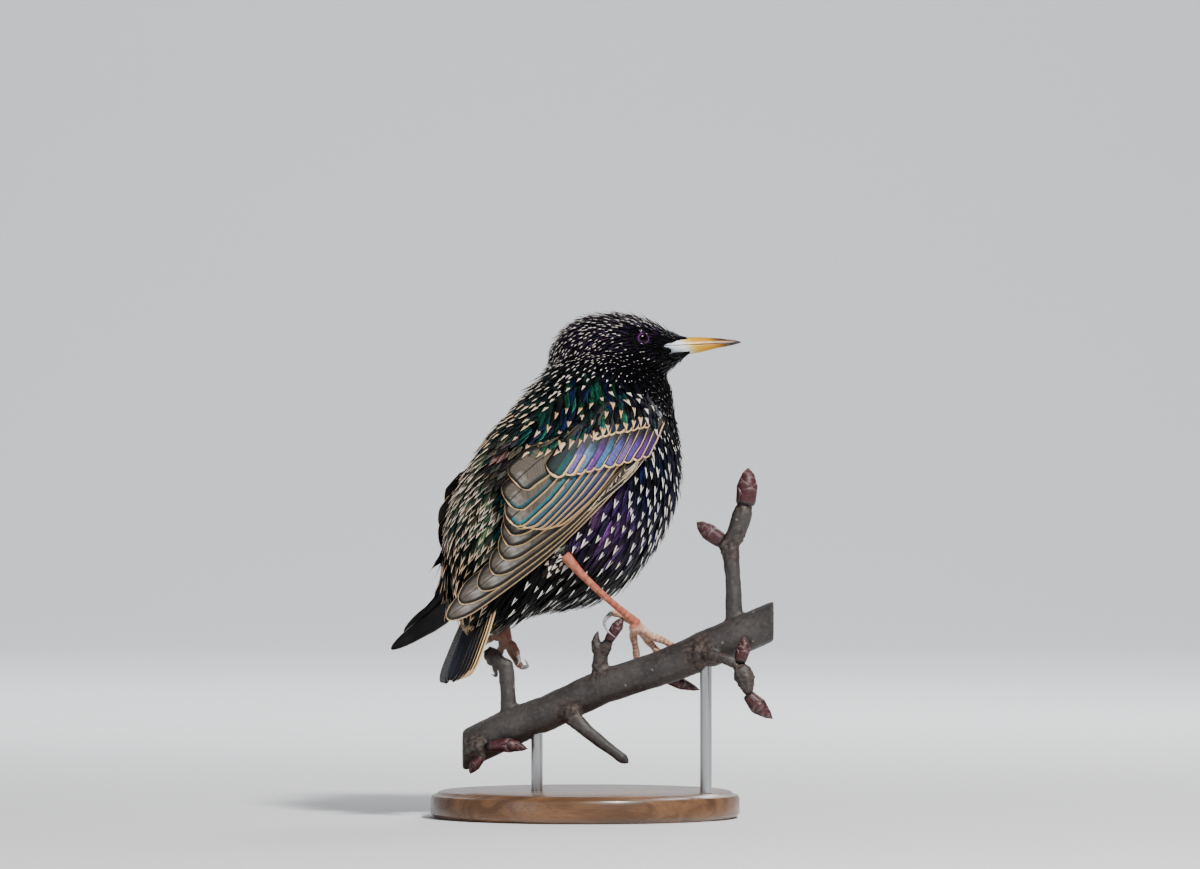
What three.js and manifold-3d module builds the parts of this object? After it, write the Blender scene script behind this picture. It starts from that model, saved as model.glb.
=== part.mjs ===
// A life-size model of a perched starling on a cut length of branch, held over a flat base by two rods.
// Millimetres. +Z is up, and +X is the way that the bird looks. The origin is the centre of the base's underside.
import * as THREE from "three";
import { mergeVertices } from "three/addons/utils/BufferGeometryUtils.js";
import Module from "manifold-3d";

const wasm = await Module();
wasm.setup();

// Driving dimensions
const seam = 0.35;
const socket = 0.5;
const bodyTurn = 32;
const headTurn = -28;
const birdDepth = 10;
const neckForward = 9.3;

const radians = THREE.MathUtils.degToRad;
const rest = new THREE.Vector3();
const up = new THREE.Vector3(0, 0, 1);
const tipStart = 0.72;

// A closed solid of a geometry, grown by a distance along its normals
function solidOf(geometry, grow = 0) {
  const bare = geometry.clone();
  for (const name of Object.keys(bare.attributes)) if (name !== "position") bare.deleteAttribute(name);
  const merged = mergeVertices(bare, 1e-4);
  const points = merged.attributes.position.array;
  const faces = [];
  let volume = 0;
  const at = [new THREE.Vector3(), new THREE.Vector3(), new THREE.Vector3()];
  for (let i = 0; i < merged.index.count; i += 3) {
    const corners = [0, 1, 2].map((k) => merged.index.getX(i + k));
    if (new Set(corners).size < 3) continue;
    corners.forEach((c, k) => at[k].fromArray(points, c * 3));
    volume += at[0].dot(rest.crossVectors(at[1], at[2]));
    faces.push(corners);
  }
  if (volume < 0) faces.forEach((f) => f.reverse());
  if (grow) {
    merged.computeVertexNormals();
    const normals = merged.attributes.normal.array;
    for (let i = 0; i < points.length; i++) points[i] += normals[i] * grow * Math.sign(volume);
  }
  const mesh = { numProp: 3, vertProperties: points, triVerts: new Uint32Array(faces.flat()) };
  return new wasm.Manifold(new wasm.Mesh(mesh));
}

function join(solids) {
  return solids.reduce((all, one) => all.add(one));
}

function largest(solid) {
  return solid.decompose().sort((a, b) => b.volume() - a.volume())[0];
}

function geometryOf(solid) {
  const { numProp, vertProperties, triVerts } = solid.getMesh();
  const geometry = new THREE.BufferGeometry();
  const points = new THREE.InterleavedBuffer(vertProperties, numProp);
  geometry.setAttribute("position", new THREE.InterleavedBufferAttribute(points, 3, 0));
  geometry.setIndex(new THREE.BufferAttribute(triVerts, 1));
  return geometry;
}

function meshOf(name, solid, material) {
  const mesh = new THREE.Mesh(geometryOf(largest(solid)), material);
  mesh.name = name;
  return mesh;
}

// A closed skin through stations. Each station is [forward, height, up, down, half width], in a plane that is turned
// about Z by `turn` round `pivot`. The first and last station are the poles.
function skinOf(stations, { around, steps, turn = 0, pivot = 0, grow = 0 }) {
  const spine = new THREE.CatmullRomCurve3(stations.map(([x, z]) => new THREE.Vector3(x, 0, z)));
  const size = new THREE.CatmullRomCurve3(stations.map(([, , high, low, wide]) => new THREE.Vector3(high, low, wide)));
  const ball = new THREE.SphereGeometry(1, around, steps);
  const unit = ball.attributes.position;
  for (let ring = 0; ring <= steps; ring++) {
    const t = ring / steps;
    const pole = ring === 0 || ring === steps;
    const centre = spine.getPoint(t);
    const ahead = spine.getTangent(t);
    const sizes = size.getPoint(t);
    for (let i = 0; i <= around; i++) {
      const angle = (i / around) * 2 * Math.PI;
      const lift = pole ? 0 : Math.cos(angle) * (Math.cos(angle) > 0 ? sizes.x : sizes.y);
      const side = pole ? 0 : Math.sin(angle) * sizes.z;
      const place = [centre.x - ahead.z * lift, side, centre.z + ahead.x * lift];
      unit.setXYZ(ring * (around + 1) + i, ...turned(place, turn, [pivot, 0]));
    }
  }
  return solidOf(ball, grow);
}

// Torso and neck, from the rump to inside the head: forward, height, back, belly, half width
const torsoStations = [
  [-50, 66, 0, 0, 0],
  [-46, 73, 13, 8, 12],
  [-39, 83, 26, 14, 19],
  [-28, 98, 35, 33, 27],
  [-16, 113, 37, 42, 33],
  [-5, 129, 36, 43.5, 35],
  [3, 146.7, 29, 39.5, 31],
  [9, 161, 22.5, 32.5, 23.5],
  [13, 171, 15, 25, 15],
  [15, 180, 0, 0, 0],
];
// Head, from the base of the bill to the nape: forward, height, crown, throat, half width
const headStations = [
  [-21.4, 167.5, 0, 0, 0],
  [-17.3, 169.9, 8, 7, 9],
  [-10.9, 172.1, 13, 12, 13.5],
  [-3.4, 174.4, 14, 14, 14],
  [5.6, 175.9, 13.3, 15, 13],
  [14.6, 176.3, 11.3, 14.3, 10.5],
  [22.1, 176.3, 7, 11.2, 6.8],
  [27.7, 176.3, 3.8, 5.6, 3.6],
  [32.2, 176.8, 2.4, 2.4, 2.2],
  [34.9, 176.6, 0, 0, 0],
].map(([x, ...more]) => [x + neckForward, ...more]);

function bodySkin(grow) {
  return skinOf(torsoStations, { around: 28, steps: 24, grow });
}

function headSkin(grow) {
  return skinOf(headStations, { around: 24, steps: 20, turn: headTurn, pivot: neckForward, grow });
}

// Turns a point about an upright line through the pivot
function turned(point, degrees, [pivotX, pivotY]) {
  const [x, y, z] = point;
  const place = new THREE.Vector3(x - pivotX, y - pivotY, z).applyAxisAngle(up, radians(degrees));
  return [place.x + pivotX, place.y + pivotY, place.z];
}

// A value from a list that is spread evenly over 0 to 1
function along(list, t) {
  const place = THREE.MathUtils.clamp(t, 0, 1) * (list.length - 1);
  const before = Math.min(Math.floor(place), list.length - 2);
  return THREE.MathUtils.lerp(list[before], list[before + 1], place - before);
}

// A closed limb through the points of a path, with a radius for each point and round ends
function limb(path, radii, { around = 8, steps = 6, grow = 0 } = {}) {
  const curve = new THREE.CatmullRomCurve3(path.map((p) => new THREE.Vector3(...p)), false, "centripetal");
  const length = curve.getLength();
  const ball = new THREE.SphereGeometry(1, around, steps);
  const unit = ball.attributes.position;
  const side = new THREE.Vector3(0.3, -0.5, 0.8);
  for (let ring = 0; ring <= steps; ring++) {
    const t = (1 - Math.cos((Math.PI * ring) / steps)) / 2;
    const ahead = curve.getTangent(t);
    side.addScaledVector(ahead, -side.dot(ahead)).normalize();
    const sideways = ahead.clone().cross(side);
    const radius = along(radii, t);
    const toEnd = Math.min(t, 1 - t) * length;
    const dome = toEnd < radius ? Math.sqrt(1 - (1 - toEnd / radius) ** 2) : 1;
    for (let i = 0; i <= around; i++) {
      const angle = (i / around) * 2 * Math.PI;
      const place = curve.getPoint(t);
      place.addScaledVector(side, Math.cos(angle) * radius * dome);
      place.addScaledVector(sideways, Math.sin(angle) * radius * dome);
      unit.setXYZ(ring * (around + 1) + i, place.x, place.y, place.z);
    }
  }
  return solidOf(ball, grow);
}

// A thin plate over a grid, with both faces split alike. `place` gives the point at a fraction along, a fraction
// across, and a side that is 1 on the outer face and 0 on the inner one.
function plate(rows, columns, place) {
  const grid = new THREE.PlaneGeometry(1, 1, columns, rows);
  const faces = [...grid.index.array];
  const count = grid.attributes.position.count;
  const points = [];
  for (const side of [1, 0]) {
    for (let row = 0; row <= rows; row++) {
      for (let column = 0; column <= columns; column++) points.push(...place(row / rows, column / columns, side));
    }
  }
  for (let i = 0; i < grid.index.count; i += 3) {
    faces.push(faces[i] + count, faces[i + 2] + count, faces[i + 1] + count);
  }
  const wide = columns + 1;
  const rim = [];
  for (let i = 0; i < columns; i++) rim.push(i);
  for (let i = 0; i < rows; i++) rim.push(i * wide + columns);
  for (let i = columns; i > 0; i--) rim.push(rows * wide + i);
  for (let i = rows; i > 0; i--) rim.push(i * wide);
  rim.forEach((here, i) => {
    const next = rim[(i + 1) % rim.length];
    faces.push(here, next, next + count, here, next + count, here + count);
  });
  const geometry = new THREE.BufferGeometry();
  geometry.setAttribute("position", new THREE.Float32BufferAttribute(points, 3));
  geometry.setIndex(faces);
  return solidOf(geometry);
}

// One feather's vane, laid out on a surface. Root, middle and tip are points on the surface, and lift is the height
// of its outer face over the surface. Its lower edge stands a little higher than the upper one.
function vane(surface, { root, middle, tip, wide, lift, rows = 4, columns = 1, thick = 0.7, deep = 0, tilt = 0.2, sunk = 2.4, lean = 0 }) {
  const control = middle.map((m, i) => 2 * m - (root[i] + tip[i]) / 2);
  const axis = new THREE.QuadraticBezierCurve(...[root, control, tip].map((p) => new THREE.Vector2(...p)));
  return plate(rows, columns, (t, u, side) => {
    const s = Math.sin((t * Math.PI) / 2);
    const centre = axis.getPoint(s);
    const ahead = axis.getTangent(s);
    const full = Math.min(1, 0.6 + 0.8 * s);
    const round = s < tipStart ? 1 : Math.sqrt(Math.max(0, 1 - ((s - tipStart) / (1 - tipStart)) ** 2));
    const out = (u - 0.5 + lean) * wide * full * (t === 1 ? 0 : round);
    const through = THREE.MathUtils.lerp(Math.max(thick, deep), thick, s ** 1.5);
    const height = lift + tilt * (1 - 2 * u) - (1 - side) * through - sunk * (1 - s) ** 4;
    return surface(centre.x - ahead.y * out, centre.y + ahead.x * out, height);
  });
}

// Torso, neck and head are one skin, parted by two thin cuts
const upperCut = 167.5;
const lowerCut = 157;
const cutTilt = 0.1;
function slabOf(solid, low, high) {
  const length = Math.hypot(cutTilt, 1);
  const above = [cutTilt / length, 0, 1 / length];
  const below = above.map((v) => -v);
  let part = solid;
  if (low !== null) part = part.trimByPlane(above, (low + seam / 2) / length);
  if (high !== null) part = part.trimByPlane(below, -(high - seam / 2) / length);
  return part;
}

// A place in the head's own frame: forward of the neck, to the left, and up
function headPlace(forward, left, height) {
  return turned([forward + neckForward, left, height], headTurn, [neckForward, 0]);
}

// Bill: forward, height of the line of the mouth, depth of each half and half width
const billLine = [
  [22, 177.1, 3.8, 3.9, 3.8],
  [27.7, 177.0, 3.3, 3.3, 3.4],
  [35.2, 177.1, 2.75, 2.4, 2.6],
  [42.8, 177.5, 1.8, 1.2, 1.8],
  [48.2, 177.8, 0.95, 0.5, 1.0],
  [51.1, 177.8, 0, 0, 0],
];
const mouthGap = 0.45;
const lowerBillShort = 0.6;
function billHalf(upper, grow = 0) {
  const first = billLine[0];
  const last = billLine.at(-1);
  const stations = billLine.map(([x, z, above, below, wide]) => {
    const depth = upper ? above : below;
    const line = upper ? z : z - mouthGap - 0.2;
    const flat = wide * 0.04;
    const short = !upper && x === last[0] ? lowerBillShort : 0;
    return [x - short + neckForward, line, upper ? depth : flat, upper ? flat : depth, wide];
  });
  stations.unshift([first[0] - 3 + neckForward, stations[0][1], 0, 0, 0]);
  return skinOf(stations, { around: 12, steps: 12, turn: headTurn, pivot: neckForward, grow });
}
const nostril = { forward: 32.4, side: 2.9, height: 178.4, long: 1.3, wide: 0.7, high: 0.45 };
function nostrilAt(side) {
  const hollow = new THREE.SphereGeometry(1, 8, 6).scale(nostril.long, nostril.wide, nostril.high);
  hollow.rotateZ(radians(headTurn));
  return solidOf(hollow.translate(...headPlace(nostril.forward, side * nostril.side, nostril.height)));
}

// Eyes and lids
const eye = { forward: 12.6, side: 7.5, height: 179.2, radius: 3.4 };
const lid = { radius: 2.75, thick: 0.55, out: 2.4, ahead: 18, above: 6 };
function eyeGaze(side) {
  const gaze = new THREE.Vector3(0, side, 0);
  gaze.applyAxisAngle(up, radians(headTurn - side * lid.ahead));
  gaze.z = Math.sin(radians(lid.above));
  return gaze.normalize();
}
function eyeball(side, grow = 0) {
  const ball = new THREE.SphereGeometry(eye.radius + grow, 12, 9);
  return solidOf(ball.translate(...headPlace(eye.forward, side * eye.side, eye.height)));
}
function lidRing(side) {
  const ring = new THREE.TorusGeometry(lid.radius, lid.thick, 5, 14);
  const gaze = eyeGaze(side);
  ring.applyQuaternion(new THREE.Quaternion().setFromUnitVectors(up, gaze));
  const centre = new THREE.Vector3(...headPlace(eye.forward, side * eye.side, eye.height));
  centre.addScaledVector(gaze, lid.out);
  return solidOf(ring.translate(...centre));
}

// Wing: laid out as the turned bird's side shows it. The plan's axis runs from the wrist to the tip, `a` is the
// distance along it and `b` the distance above it, and the plan is laid over the body from that side.
const wrist = { across: 28.1, height: 142.5 };
const wingSlope = 41;
const wingLength = 104.5;
const wingNear = 22;
const wingFar = 48;
const drapeBlend = 3;
const across = new THREE.Vector3(Math.cos(radians(bodyTurn)), -Math.sin(radians(bodyTurn)), 0);
const outward = new THREE.Vector3(-Math.sin(radians(bodyTurn)), -Math.cos(radians(bodyTurn)), 0);
const far = 120;
const caster = new THREE.Raycaster();
const draped = new Map();

function wingDepth(x, z) {
  const origin = new THREE.Vector3(0, 0, z).addScaledVector(across, x).addScaledVector(outward, far);
  caster.set(origin, outward.clone().negate());
  const hit = caster.intersectObject(flank)[0];
  const distance = (wrist.across - x) * Math.cos(radians(wingSlope)) + (wrist.height - z) * Math.sin(radians(wingSlope));
  const free = THREE.MathUtils.lerp(wingNear, wingFar, distance / wingLength);
  if (!hit) return free;
  const close = (far - hit.distance - free) / drapeBlend;
  return free + drapeBlend * Math.log(1 + Math.exp(close));
}

function onWing(a, b, lift) {
  const cosine = Math.cos(radians(wingSlope));
  const sine = Math.sin(radians(wingSlope));
  const x = wrist.across - a * cosine - b * sine;
  const z = wrist.height - a * sine + b * cosine;
  const key = `${x.toFixed(4)} ${z.toFixed(4)}`;
  if (!draped.has(key)) {
    const depth = wingDepth(x, z);
    const step = 1.5;
    const slopeX = (wingDepth(x + step, z) - wingDepth(x - step, z)) / (2 * step);
    const slopeZ = (wingDepth(x, z + step) - wingDepth(x, z - step)) / (2 * step);
    const normal = new THREE.Vector3(0, 0, -slopeZ).addScaledVector(across, -slopeX).add(outward).normalize();
    const foot = new THREE.Vector3(0, 0, z).addScaledVector(across, x).addScaledVector(outward, depth);
    draped.set(key, { foot, normal });
  }
  const { foot, normal } = draped.get(key);
  return foot.clone().addScaledVector(normal, lift).toArray();
}

// The left wing is the right one mirrored, hanging a little lower and further out at its tip
const leftDroop = { spread: 8.2, down: 6, back: 2, lower: 3, round: 9.5, flat: 0.5, wider: 1.3 };
const leftBend = { back: [0, -1.5, -3, -2.6, -1, 3.6], down: [0, 0, 0, 0.6, 2.4, 0.4] };
const shoulder = new THREE.Vector3(10, 36, 142);
function onLeftWing(a, b, lift) {
  const edge = 3 + (b - 3) * THREE.MathUtils.lerp(1, leftDroop.wider, Math.min(1, a / 60));
  const [x, y, z] = onWing(a, edge - leftDroop.round * Math.max(0, 1 - a / 90), lift * leftDroop.flat);
  const place = new THREE.Vector3(x, -y, z).sub(shoulder);
  place.applyAxisAngle(up, radians(-leftDroop.spread));
  place.applyAxisAngle(new THREE.Vector3(0, 1, 0), radians(-leftDroop.down));
  place.add(shoulder);
  place.addScaledVector(across, -along(leftBend.back, a / wingLength));
  place.addScaledVector(up, -along(leftBend.down, a / wingLength));
  return [place.x - leftDroop.back, place.y, place.z - leftDroop.lower];
}

// Rows of feathers: each from its first feather to its last one, with everything between spread evenly
const layer = 0.36;
const firstLift = 1.02;
const rowsOfFeathers = [
  {
    count: 7, bow: 1.25,
    root: [[8, 1.5], [11, 6.5]], middle: [[52, -0.9], [38, 5.6]], tip: [[104.5, 0.3], [63.6, 7]],
    wide: [9, 14], lift: [firstLift, firstLift + 6 * layer], lean: [0.1, 0.22],
  },
  {
    count: 5, bow: 1,
    root: [[13, 8.5], [20, 15]], middle: [[37, 6.5], [38, 11.5]], tip: [[63, 7.2], [60.5, 11]],
    wide: [13, 13], lift: [firstLift + 7 * layer, firstLift + 11 * layer], lean: [0.22, 0.2],
  },
  {
    count: 3, bow: 1,
    root: [[18, 14], [20, 23]], middle: [[38, 15], [37, 23]], tip: [[61.3, 12], [53.5, 19]],
    wide: [12, 12], lift: [firstLift + 12 * layer, firstLift + 14 * layer],
  },
  {
    count: 3, bow: 1,
    root: [[-1, 2.5], [1, 4.5]], middle: [[16, -0.8], [12, 1.2]], tip: [[34, -3.2], [21, -0.6]],
    wide: [5, 5.5], lift: [2.2, 3.2],
  },
  {
    count: 8, bow: 1,
    root: [[4, 5], [26, 25]], middle: [[8.5, 3.4], [37, 24]], tip: [[13.3, 1.0], [46, 21.5]],
    wide: [6.4, 7.4], lift: [4.0, 7.0],
  },
  {
    count: 6, bow: 1,
    root: [[-4, 9], [16, 25]], middle: [[0.5, 8], [24, 25]], tip: [[4.5, 6], [32, 24]],
    wide: [6.5, 7.5], lift: [5.0, 7.9],
  },
];
const armPad = { a: 14, b: 12, long: 22, wide: 14, low: -1, high: 6.2 };

function wing(surface) {
  const pad = new THREE.SphereGeometry(1, 12, 8);
  const unit = pad.attributes.position;
  for (let i = 0; i < unit.count; i++) {
    const lift = armPad.low + unit.getY(i) * (unit.getY(i) > 0 ? armPad.high : 3);
    unit.setXYZ(i, ...surface(armPad.a + armPad.long * unit.getX(i), armPad.b + armPad.wide * unit.getZ(i), lift));
  }
  const pieces = [solidOf(pad)];
  for (const { count, bow, ...ends } of rowsOfFeathers) {
    for (let i = 0; i < count; i++) {
      const t = i / (count - 1);
      const reach = 1 - (1 - t) ** bow;
      const between = ([from, to], f) =>
        Array.isArray(from) ? from.map((v, k) => THREE.MathUtils.lerp(v, to[k], f)) : THREE.MathUtils.lerp(from, to, f);
      const made = Object.fromEntries(Object.entries(ends).map(([name, pair]) => [name, between(pair, t)]));
      made.tip = between(ends.tip, reach);
      made.deep = made.lift + 0.6;
      pieces.push(vane(surface, made));
    }
  }
  return join(pieces).subtract(bodySkin(seam));
}

// Tail: a fan of rectrices on a short core, laid out in its own plane
const tailRoot = [-40.3, 1.2, 88];
const tailPitch = 66;
const tailRoll = -8;
const rectrix = { pairs: 6, long: 42, wide: 10, step: 1.9, root: 0.9, layer: 0.42, top: 2.2, nearShort: 4, farShort: 2 };
const tailCore = { middle: 6, long: 20, wide: 9.5, above: 2.4, below: 4.5 };
function onTail(forward, sideways, lift) {
  const place = new THREE.Vector3(forward, -sideways, lift);
  place.applyAxisAngle(new THREE.Vector3(1, 0, 0), radians(tailRoll));
  place.applyAxisAngle(new THREE.Vector3(0, 1, 0), radians(tailPitch));
  place.x *= -1;
  return [place.x + tailRoot[0], place.y + tailRoot[1], place.z + tailRoot[2]];
}

function tail() {
  const core = new THREE.SphereGeometry(1, 14, 10);
  const unit = core.attributes.position;
  for (let i = 0; i < unit.count; i++) {
    const [x, y, z] = [unit.getX(i), unit.getY(i), unit.getZ(i)];
    const taper = 1 - 0.35 * Math.max(0, x);
    const place = [tailCore.middle + tailCore.long * x, tailCore.wide * taper * z];
    unit.setXYZ(i, ...onTail(...place, (y > 0 ? tailCore.above : tailCore.below) * y * taper));
  }
  const pieces = [solidOf(core)];
  for (const side of [1, -1]) {
    for (let i = 0; i < rectrix.pairs; i++) {
      const out = side * (rectrix.root + rectrix.step * i);
      const reach = rectrix.long - ((side > 0 ? rectrix.nearShort : rectrix.farShort) * i) / rectrix.pairs;
      const lift = rectrix.top - rectrix.layer * (i + (side > 0 ? 0 : 0.5));
      pieces.push(vane(onTail, {
        root: [-8, out * 0.6], middle: [reach * 0.45, out], tip: [reach, out * 1.12],
        wide: rectrix.wide, lift, tilt: 0,
      }));
    }
  }
  return join(pieces).subtract(bodySkin(seam));
}

// Perch: the branch's line as across, height and radius, with its depth on one straight slope
const branchDepth = (x) => 1 - 0.285 * (x + 43);
const branchLine = [
  [-54, 19.9, 6.9], [-31, 32.2, 7.4], [-9.4, 41.3, 6.5], [3.6, 48, 6.6], [18.9, 53.3, 6.5],
  [32.6, 57.9, 6.7], [44.3, 63, 7.3], [57, 68.6, 7.2], [80, 78.5, 7.0],
];
const branchCuts = [-46, 70];
// Twigs, spurs and knots of the branch: points and radii
const twigs = [
  { path: [[-28.5, -3, 36], [-28.8, -3.4, 46], [-30, -2.6, 60.2]], radii: [3.4, 3.0, 3.5] },
  { path: [[-30.5, -2.6, 56], [-34.5, -3, 60], [-37, -3, 63.5]], radii: [3, 3.5, 3.1] },
  { path: [[5.6, -13, 50], [5.6, -14, 58], [6, -15, 64]], radii: [3.8, 3.2, 3.1] },
  { path: [[5, -15, 61], [3.8, -15.5, 66], [5.2, -16, 70.9]], radii: [3, 1.8, 0.2] },
  { path: [[6.5, -15.5, 61], [9.4, -17, 67.6]], radii: [2.6, 2.1] },
  { path: [[-5.5, -13, 39.5], [-2.7, -17, 36], [5, -17.5, 29.4], [17, -18.5, 20.4]], radii: [4.4, 3.2, 2.3, 2.1] },
  { path: [[42.5, -27, 62.4], [44.5, -31.5, 61.6]], radii: [6.2, 4.4] },
  { path: [[44, -31, 61.5], [50, -35, 60.6], [57, -36, 58.4]], radii: [2.9, 2.1, 2.4] },
  { path: [[57, -36, 58.8], [59.1, -36, 53.6], [61, -36, 46.4]], radii: [2.8, 4.1, 2.2] },
  { path: [[-42.5, -1, 25.5], [-41, -9, 26.5], [-37.1, -10.5, 26.4]], radii: [4, 3.2, 3.5] },
  { path: [[-38, -10, 25], [-39.5, -10, 21.4]], radii: [2, 1.7] },
  { path: [[55.8, -27, 68], [55.3, -26.5, 84], [54.6, -26, 96], [53.4, -26, 102.4]], radii: [4.2, 3.1, 3.1, 4.6] },
  { path: [[54, -26, 101], [57.2, -26, 109], [59.8, -26, 119]], radii: [3.8, 3.8, 4.1] },
  { path: [[53, -26, 102], [50, -26, 104.4]], radii: [3.6, 3.2] },
];
const buds = {
  foot: { path: [[9.3, -17, 67.4], [12.1, -17.1, 71.9], [14.2, -17.2, 75.2]], radii: [1.7, 2.1, 0.3] },
  shoot_side: { path: [[50, -26, 104.4], [45.8, -26, 107.4], [41.6, -26, 110.8]], radii: [2.8, 3.1, 0.9] },
  shoot_top: { path: [[59.8, -26, 118.6], [60.4, -26, 124.4], [60.8, -26, 130.9]], radii: [3.6, 3.8, 1.2] },
  side_upper: { path: [[57.8, -36.2, 60.6], [58.8, -36.4, 64], [59.3, -36.4, 68.4]], radii: [2.2, 2.5, 0.7] },
  side_lower: { path: [[61.3, -36, 46], [64.4, -36.2, 42.6], [69.6, -36.4, 38]], radii: [2.2, 3.2, 0.5] },
  far: { path: [[30.5, -15.5, 52.2], [36, -13.5, 50.4], [42.8, -13.5, 48]], radii: [1.6, 2.2, 0.4] },
  low_right: { path: [[-35.5, -10.8, 26.8], [-28, -11, 27.2], [-21.4, -11, 25.9]], radii: [1.7, 2.6, 0.5] },
  low_left: { path: [[-39.4, -10, 21.8], [-41.4, -10.2, 19.4], [-43, -10.3, 16.6]], radii: [1.5, 1.9, 0.4] },
};

function limbOf({ path, radii }, grow = 0, shape = {}) {
  return limb(path, radii, { ...shape, grow });
}

// Legs and feet, in the model's own frame
const legs = {
  right: {
    thigh: { path: [[-22, -10, 113], [-12.6, -23.6, 103.2], [-6, -27.4, 97.2]], radii: [7, 5.5, 3.4] },
    tarsus: { path: [[-6.6, -27.6, 97.4], [6.5, -22, 83.7], [20.2, -15.4, 72.4]], radii: [1.7, 1.3, 1.5] },
    toes: [
      { path: [[19.4, -15, 72.6], [24.6, -15, 68.4], [29, -14.2, 66.6], [32.7, -13, 64.2], [34.4, -11.2, 61]] },
      { path: [[19, -14.5, 72], [23.2, -12.6, 66.8], [26.2, -12.2, 63.4], [28.4, -11.2, 60]] },
      { path: [[18.6, -14.5, 72], [18, -12.6, 68.6], [19, -9.6, 63], [19.4, -8.2, 58]] },
      { path: [[19.6, -15, 72], [16.2, -13.6, 74.4], [12.4, -13.4, 76.4], [9.4, -15.4, 76.6]] },
    ],
    claws: [
      { path: [[34.2, -11.4, 61.4], [35, -10.8, 58.5], [35, -12.2, 55.5]] },
      { path: [[28.2, -11.4, 60.4], [29.4, -10.6, 57.5], [29.6, -11.8, 54.4]] },
      { path: [[19.3, -8.4, 58.4], [19.8, -7.8, 54.8], [19.9, -9, 51.2]] },
      { path: [[9.8, -15.2, 76.6], [7.2, -18.6, 73.8], [8.4, -20.8, 70.2], [11.6, -21.2, 67.6]] },
    ],
  },
  left: {
    thigh: { path: [[-33, -2, 94], [-31.6, -0.4, 82], [-30.4, 0.6, 70.5]], radii: [7, 4.6, 2.9] },
    tarsus: { path: [[-30.6, 0.4, 72.4], [-30, 0.9, 69], [-29.4, 1.2, 66.4]], radii: [2.1, 2.0, 2.2] },
    toes: [
      { path: [[-29.6, 1.4, 66.2], [-26.6, 0.4, 63.8], [-25.2, -0.8, 60.2]] },
      { path: [[-29.6, 2, 66], [-28, 6.6, 62.4], [-25.6, 5.6, 58], [-23.4, 2.4, 55.9]] },
      { path: [[-30, 2, 66], [-32, 6.4, 62], [-33.4, 5.6, 57.4], [-33.8, 3, 54.6]] },
      { path: [[-30, 1, 66.4], [-34, -1.8, 67.6], [-36.6, -3.6, 66]] },
    ],
    claws: [
      { path: [[-25.3, -0.7, 60.8], [-24.6, -1.6, 58.6], [-25.4, -2.8, 56.8]] },
      { path: [[-23.6, 2.8, 56], [-21.4, 1.4, 56.6], [-22.8, 1, 59.4]] },
      { path: [[-33.7, 3.2, 55], [-33.4, 1.6, 52.8], [-35.4, 0.8, 53.6]] },
      { path: [[-36.4, -3.4, 66.2], [-38.8, -4.6, 63.6], [-39.2, -4.4, 60]] },
    ],
  },
};
const toeTaper = [1.6, 1.45, 1.35, 1.2];
const clawTaper = [0.9, 0.65, 0.15];
const footPad = 2.1;

const inBird = (point) => turned([point[0], point[1] - birdDepth, point[2]], -bodyTurn, [0, 0]);
const movedIn = ({ path, ...more }) => ({ path: path.map(inBird), ...more });

function legParts(side) {
  const { thigh, tarsus, toes, claws } = legs[side];
  const shank = (grow) => limbOf(movedIn(tarsus), grow, { around: 8, steps: 6 });
  const toe = toes.map((t) => limbOf(movedIn({ ...t, radii: toeTaper }), 0, { around: 7, steps: 6 }));
  const claw = claws.map((c) => limbOf(movedIn({ ...c, radii: clawTaper }), 0, { around: 5, steps: 5 }));
  const ankle = tarsus.path.at(-1);
  const pad = new THREE.SphereGeometry(footPad, 8, 6).translate(...inBird([ankle[0] - 1, ankle[1], ankle[2] - 1.2]));
  return {
    thigh: limbOf(movedIn(thigh), 0, { around: 12, steps: 8 }).subtract(shank(socket)).subtract(bodySkin(seam)),
    tarsus: shank(0).subtract(bodySkin(seam)),
    foot: join([solidOf(pad), ...toe, ...claw]).subtract(shank(socket)),
  };
}

// Stand
const base = { radius: 58, thick: 10, chamfer: 1.5, sides: 40 };
const rod = { radius: 2.2, sides: 16, intoWood: 4, intoBase: 5 };
const rodPlaces = { left: -18, right: 45 };

function rodAt(x, grow = 0) {
  const line = new THREE.CatmullRomCurve3(branchLine.map(([across, height]) => new THREE.Vector3(across, 0, height)));
  const heights = line.getPoints(200);
  const { z: centre } = heights.find((p) => p.x >= x);
  const topEnd = centre - rod.intoWood + grow;
  const bottomEnd = base.thick - rod.intoBase - grow;
  const bar = new THREE.CylinderGeometry(rod.radius + grow, rod.radius + grow, topEnd - bottomEnd, rod.sides);
  bar.rotateX(Math.PI / 2);
  return solidOf(bar.translate(x, branchDepth(x), (topEnd + bottomEnd) / 2));
}

function standBase() {
  const { radius, thick, chamfer, sides } = base;
  const profile = [[0, 0], [radius - chamfer, 0], [radius, chamfer], [radius, thick - 2 * chamfer],
    [radius - chamfer, thick - chamfer], [radius - 2.5 * chamfer, thick], [0, thick]];
  const disc = new THREE.LatheGeometry(profile.map(([r, z]) => new THREE.Vector2(r, z)), sides);
  disc.rotateX(Math.PI / 2);
  return solidOf(disc);
}

// Everything, node by node
const flank = new THREE.Mesh(geometryOf(bodySkin(0)));
const wholeBody = join([bodySkin(0), headSkin(0)]);
const rods = Object.values(rodPlaces);

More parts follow.
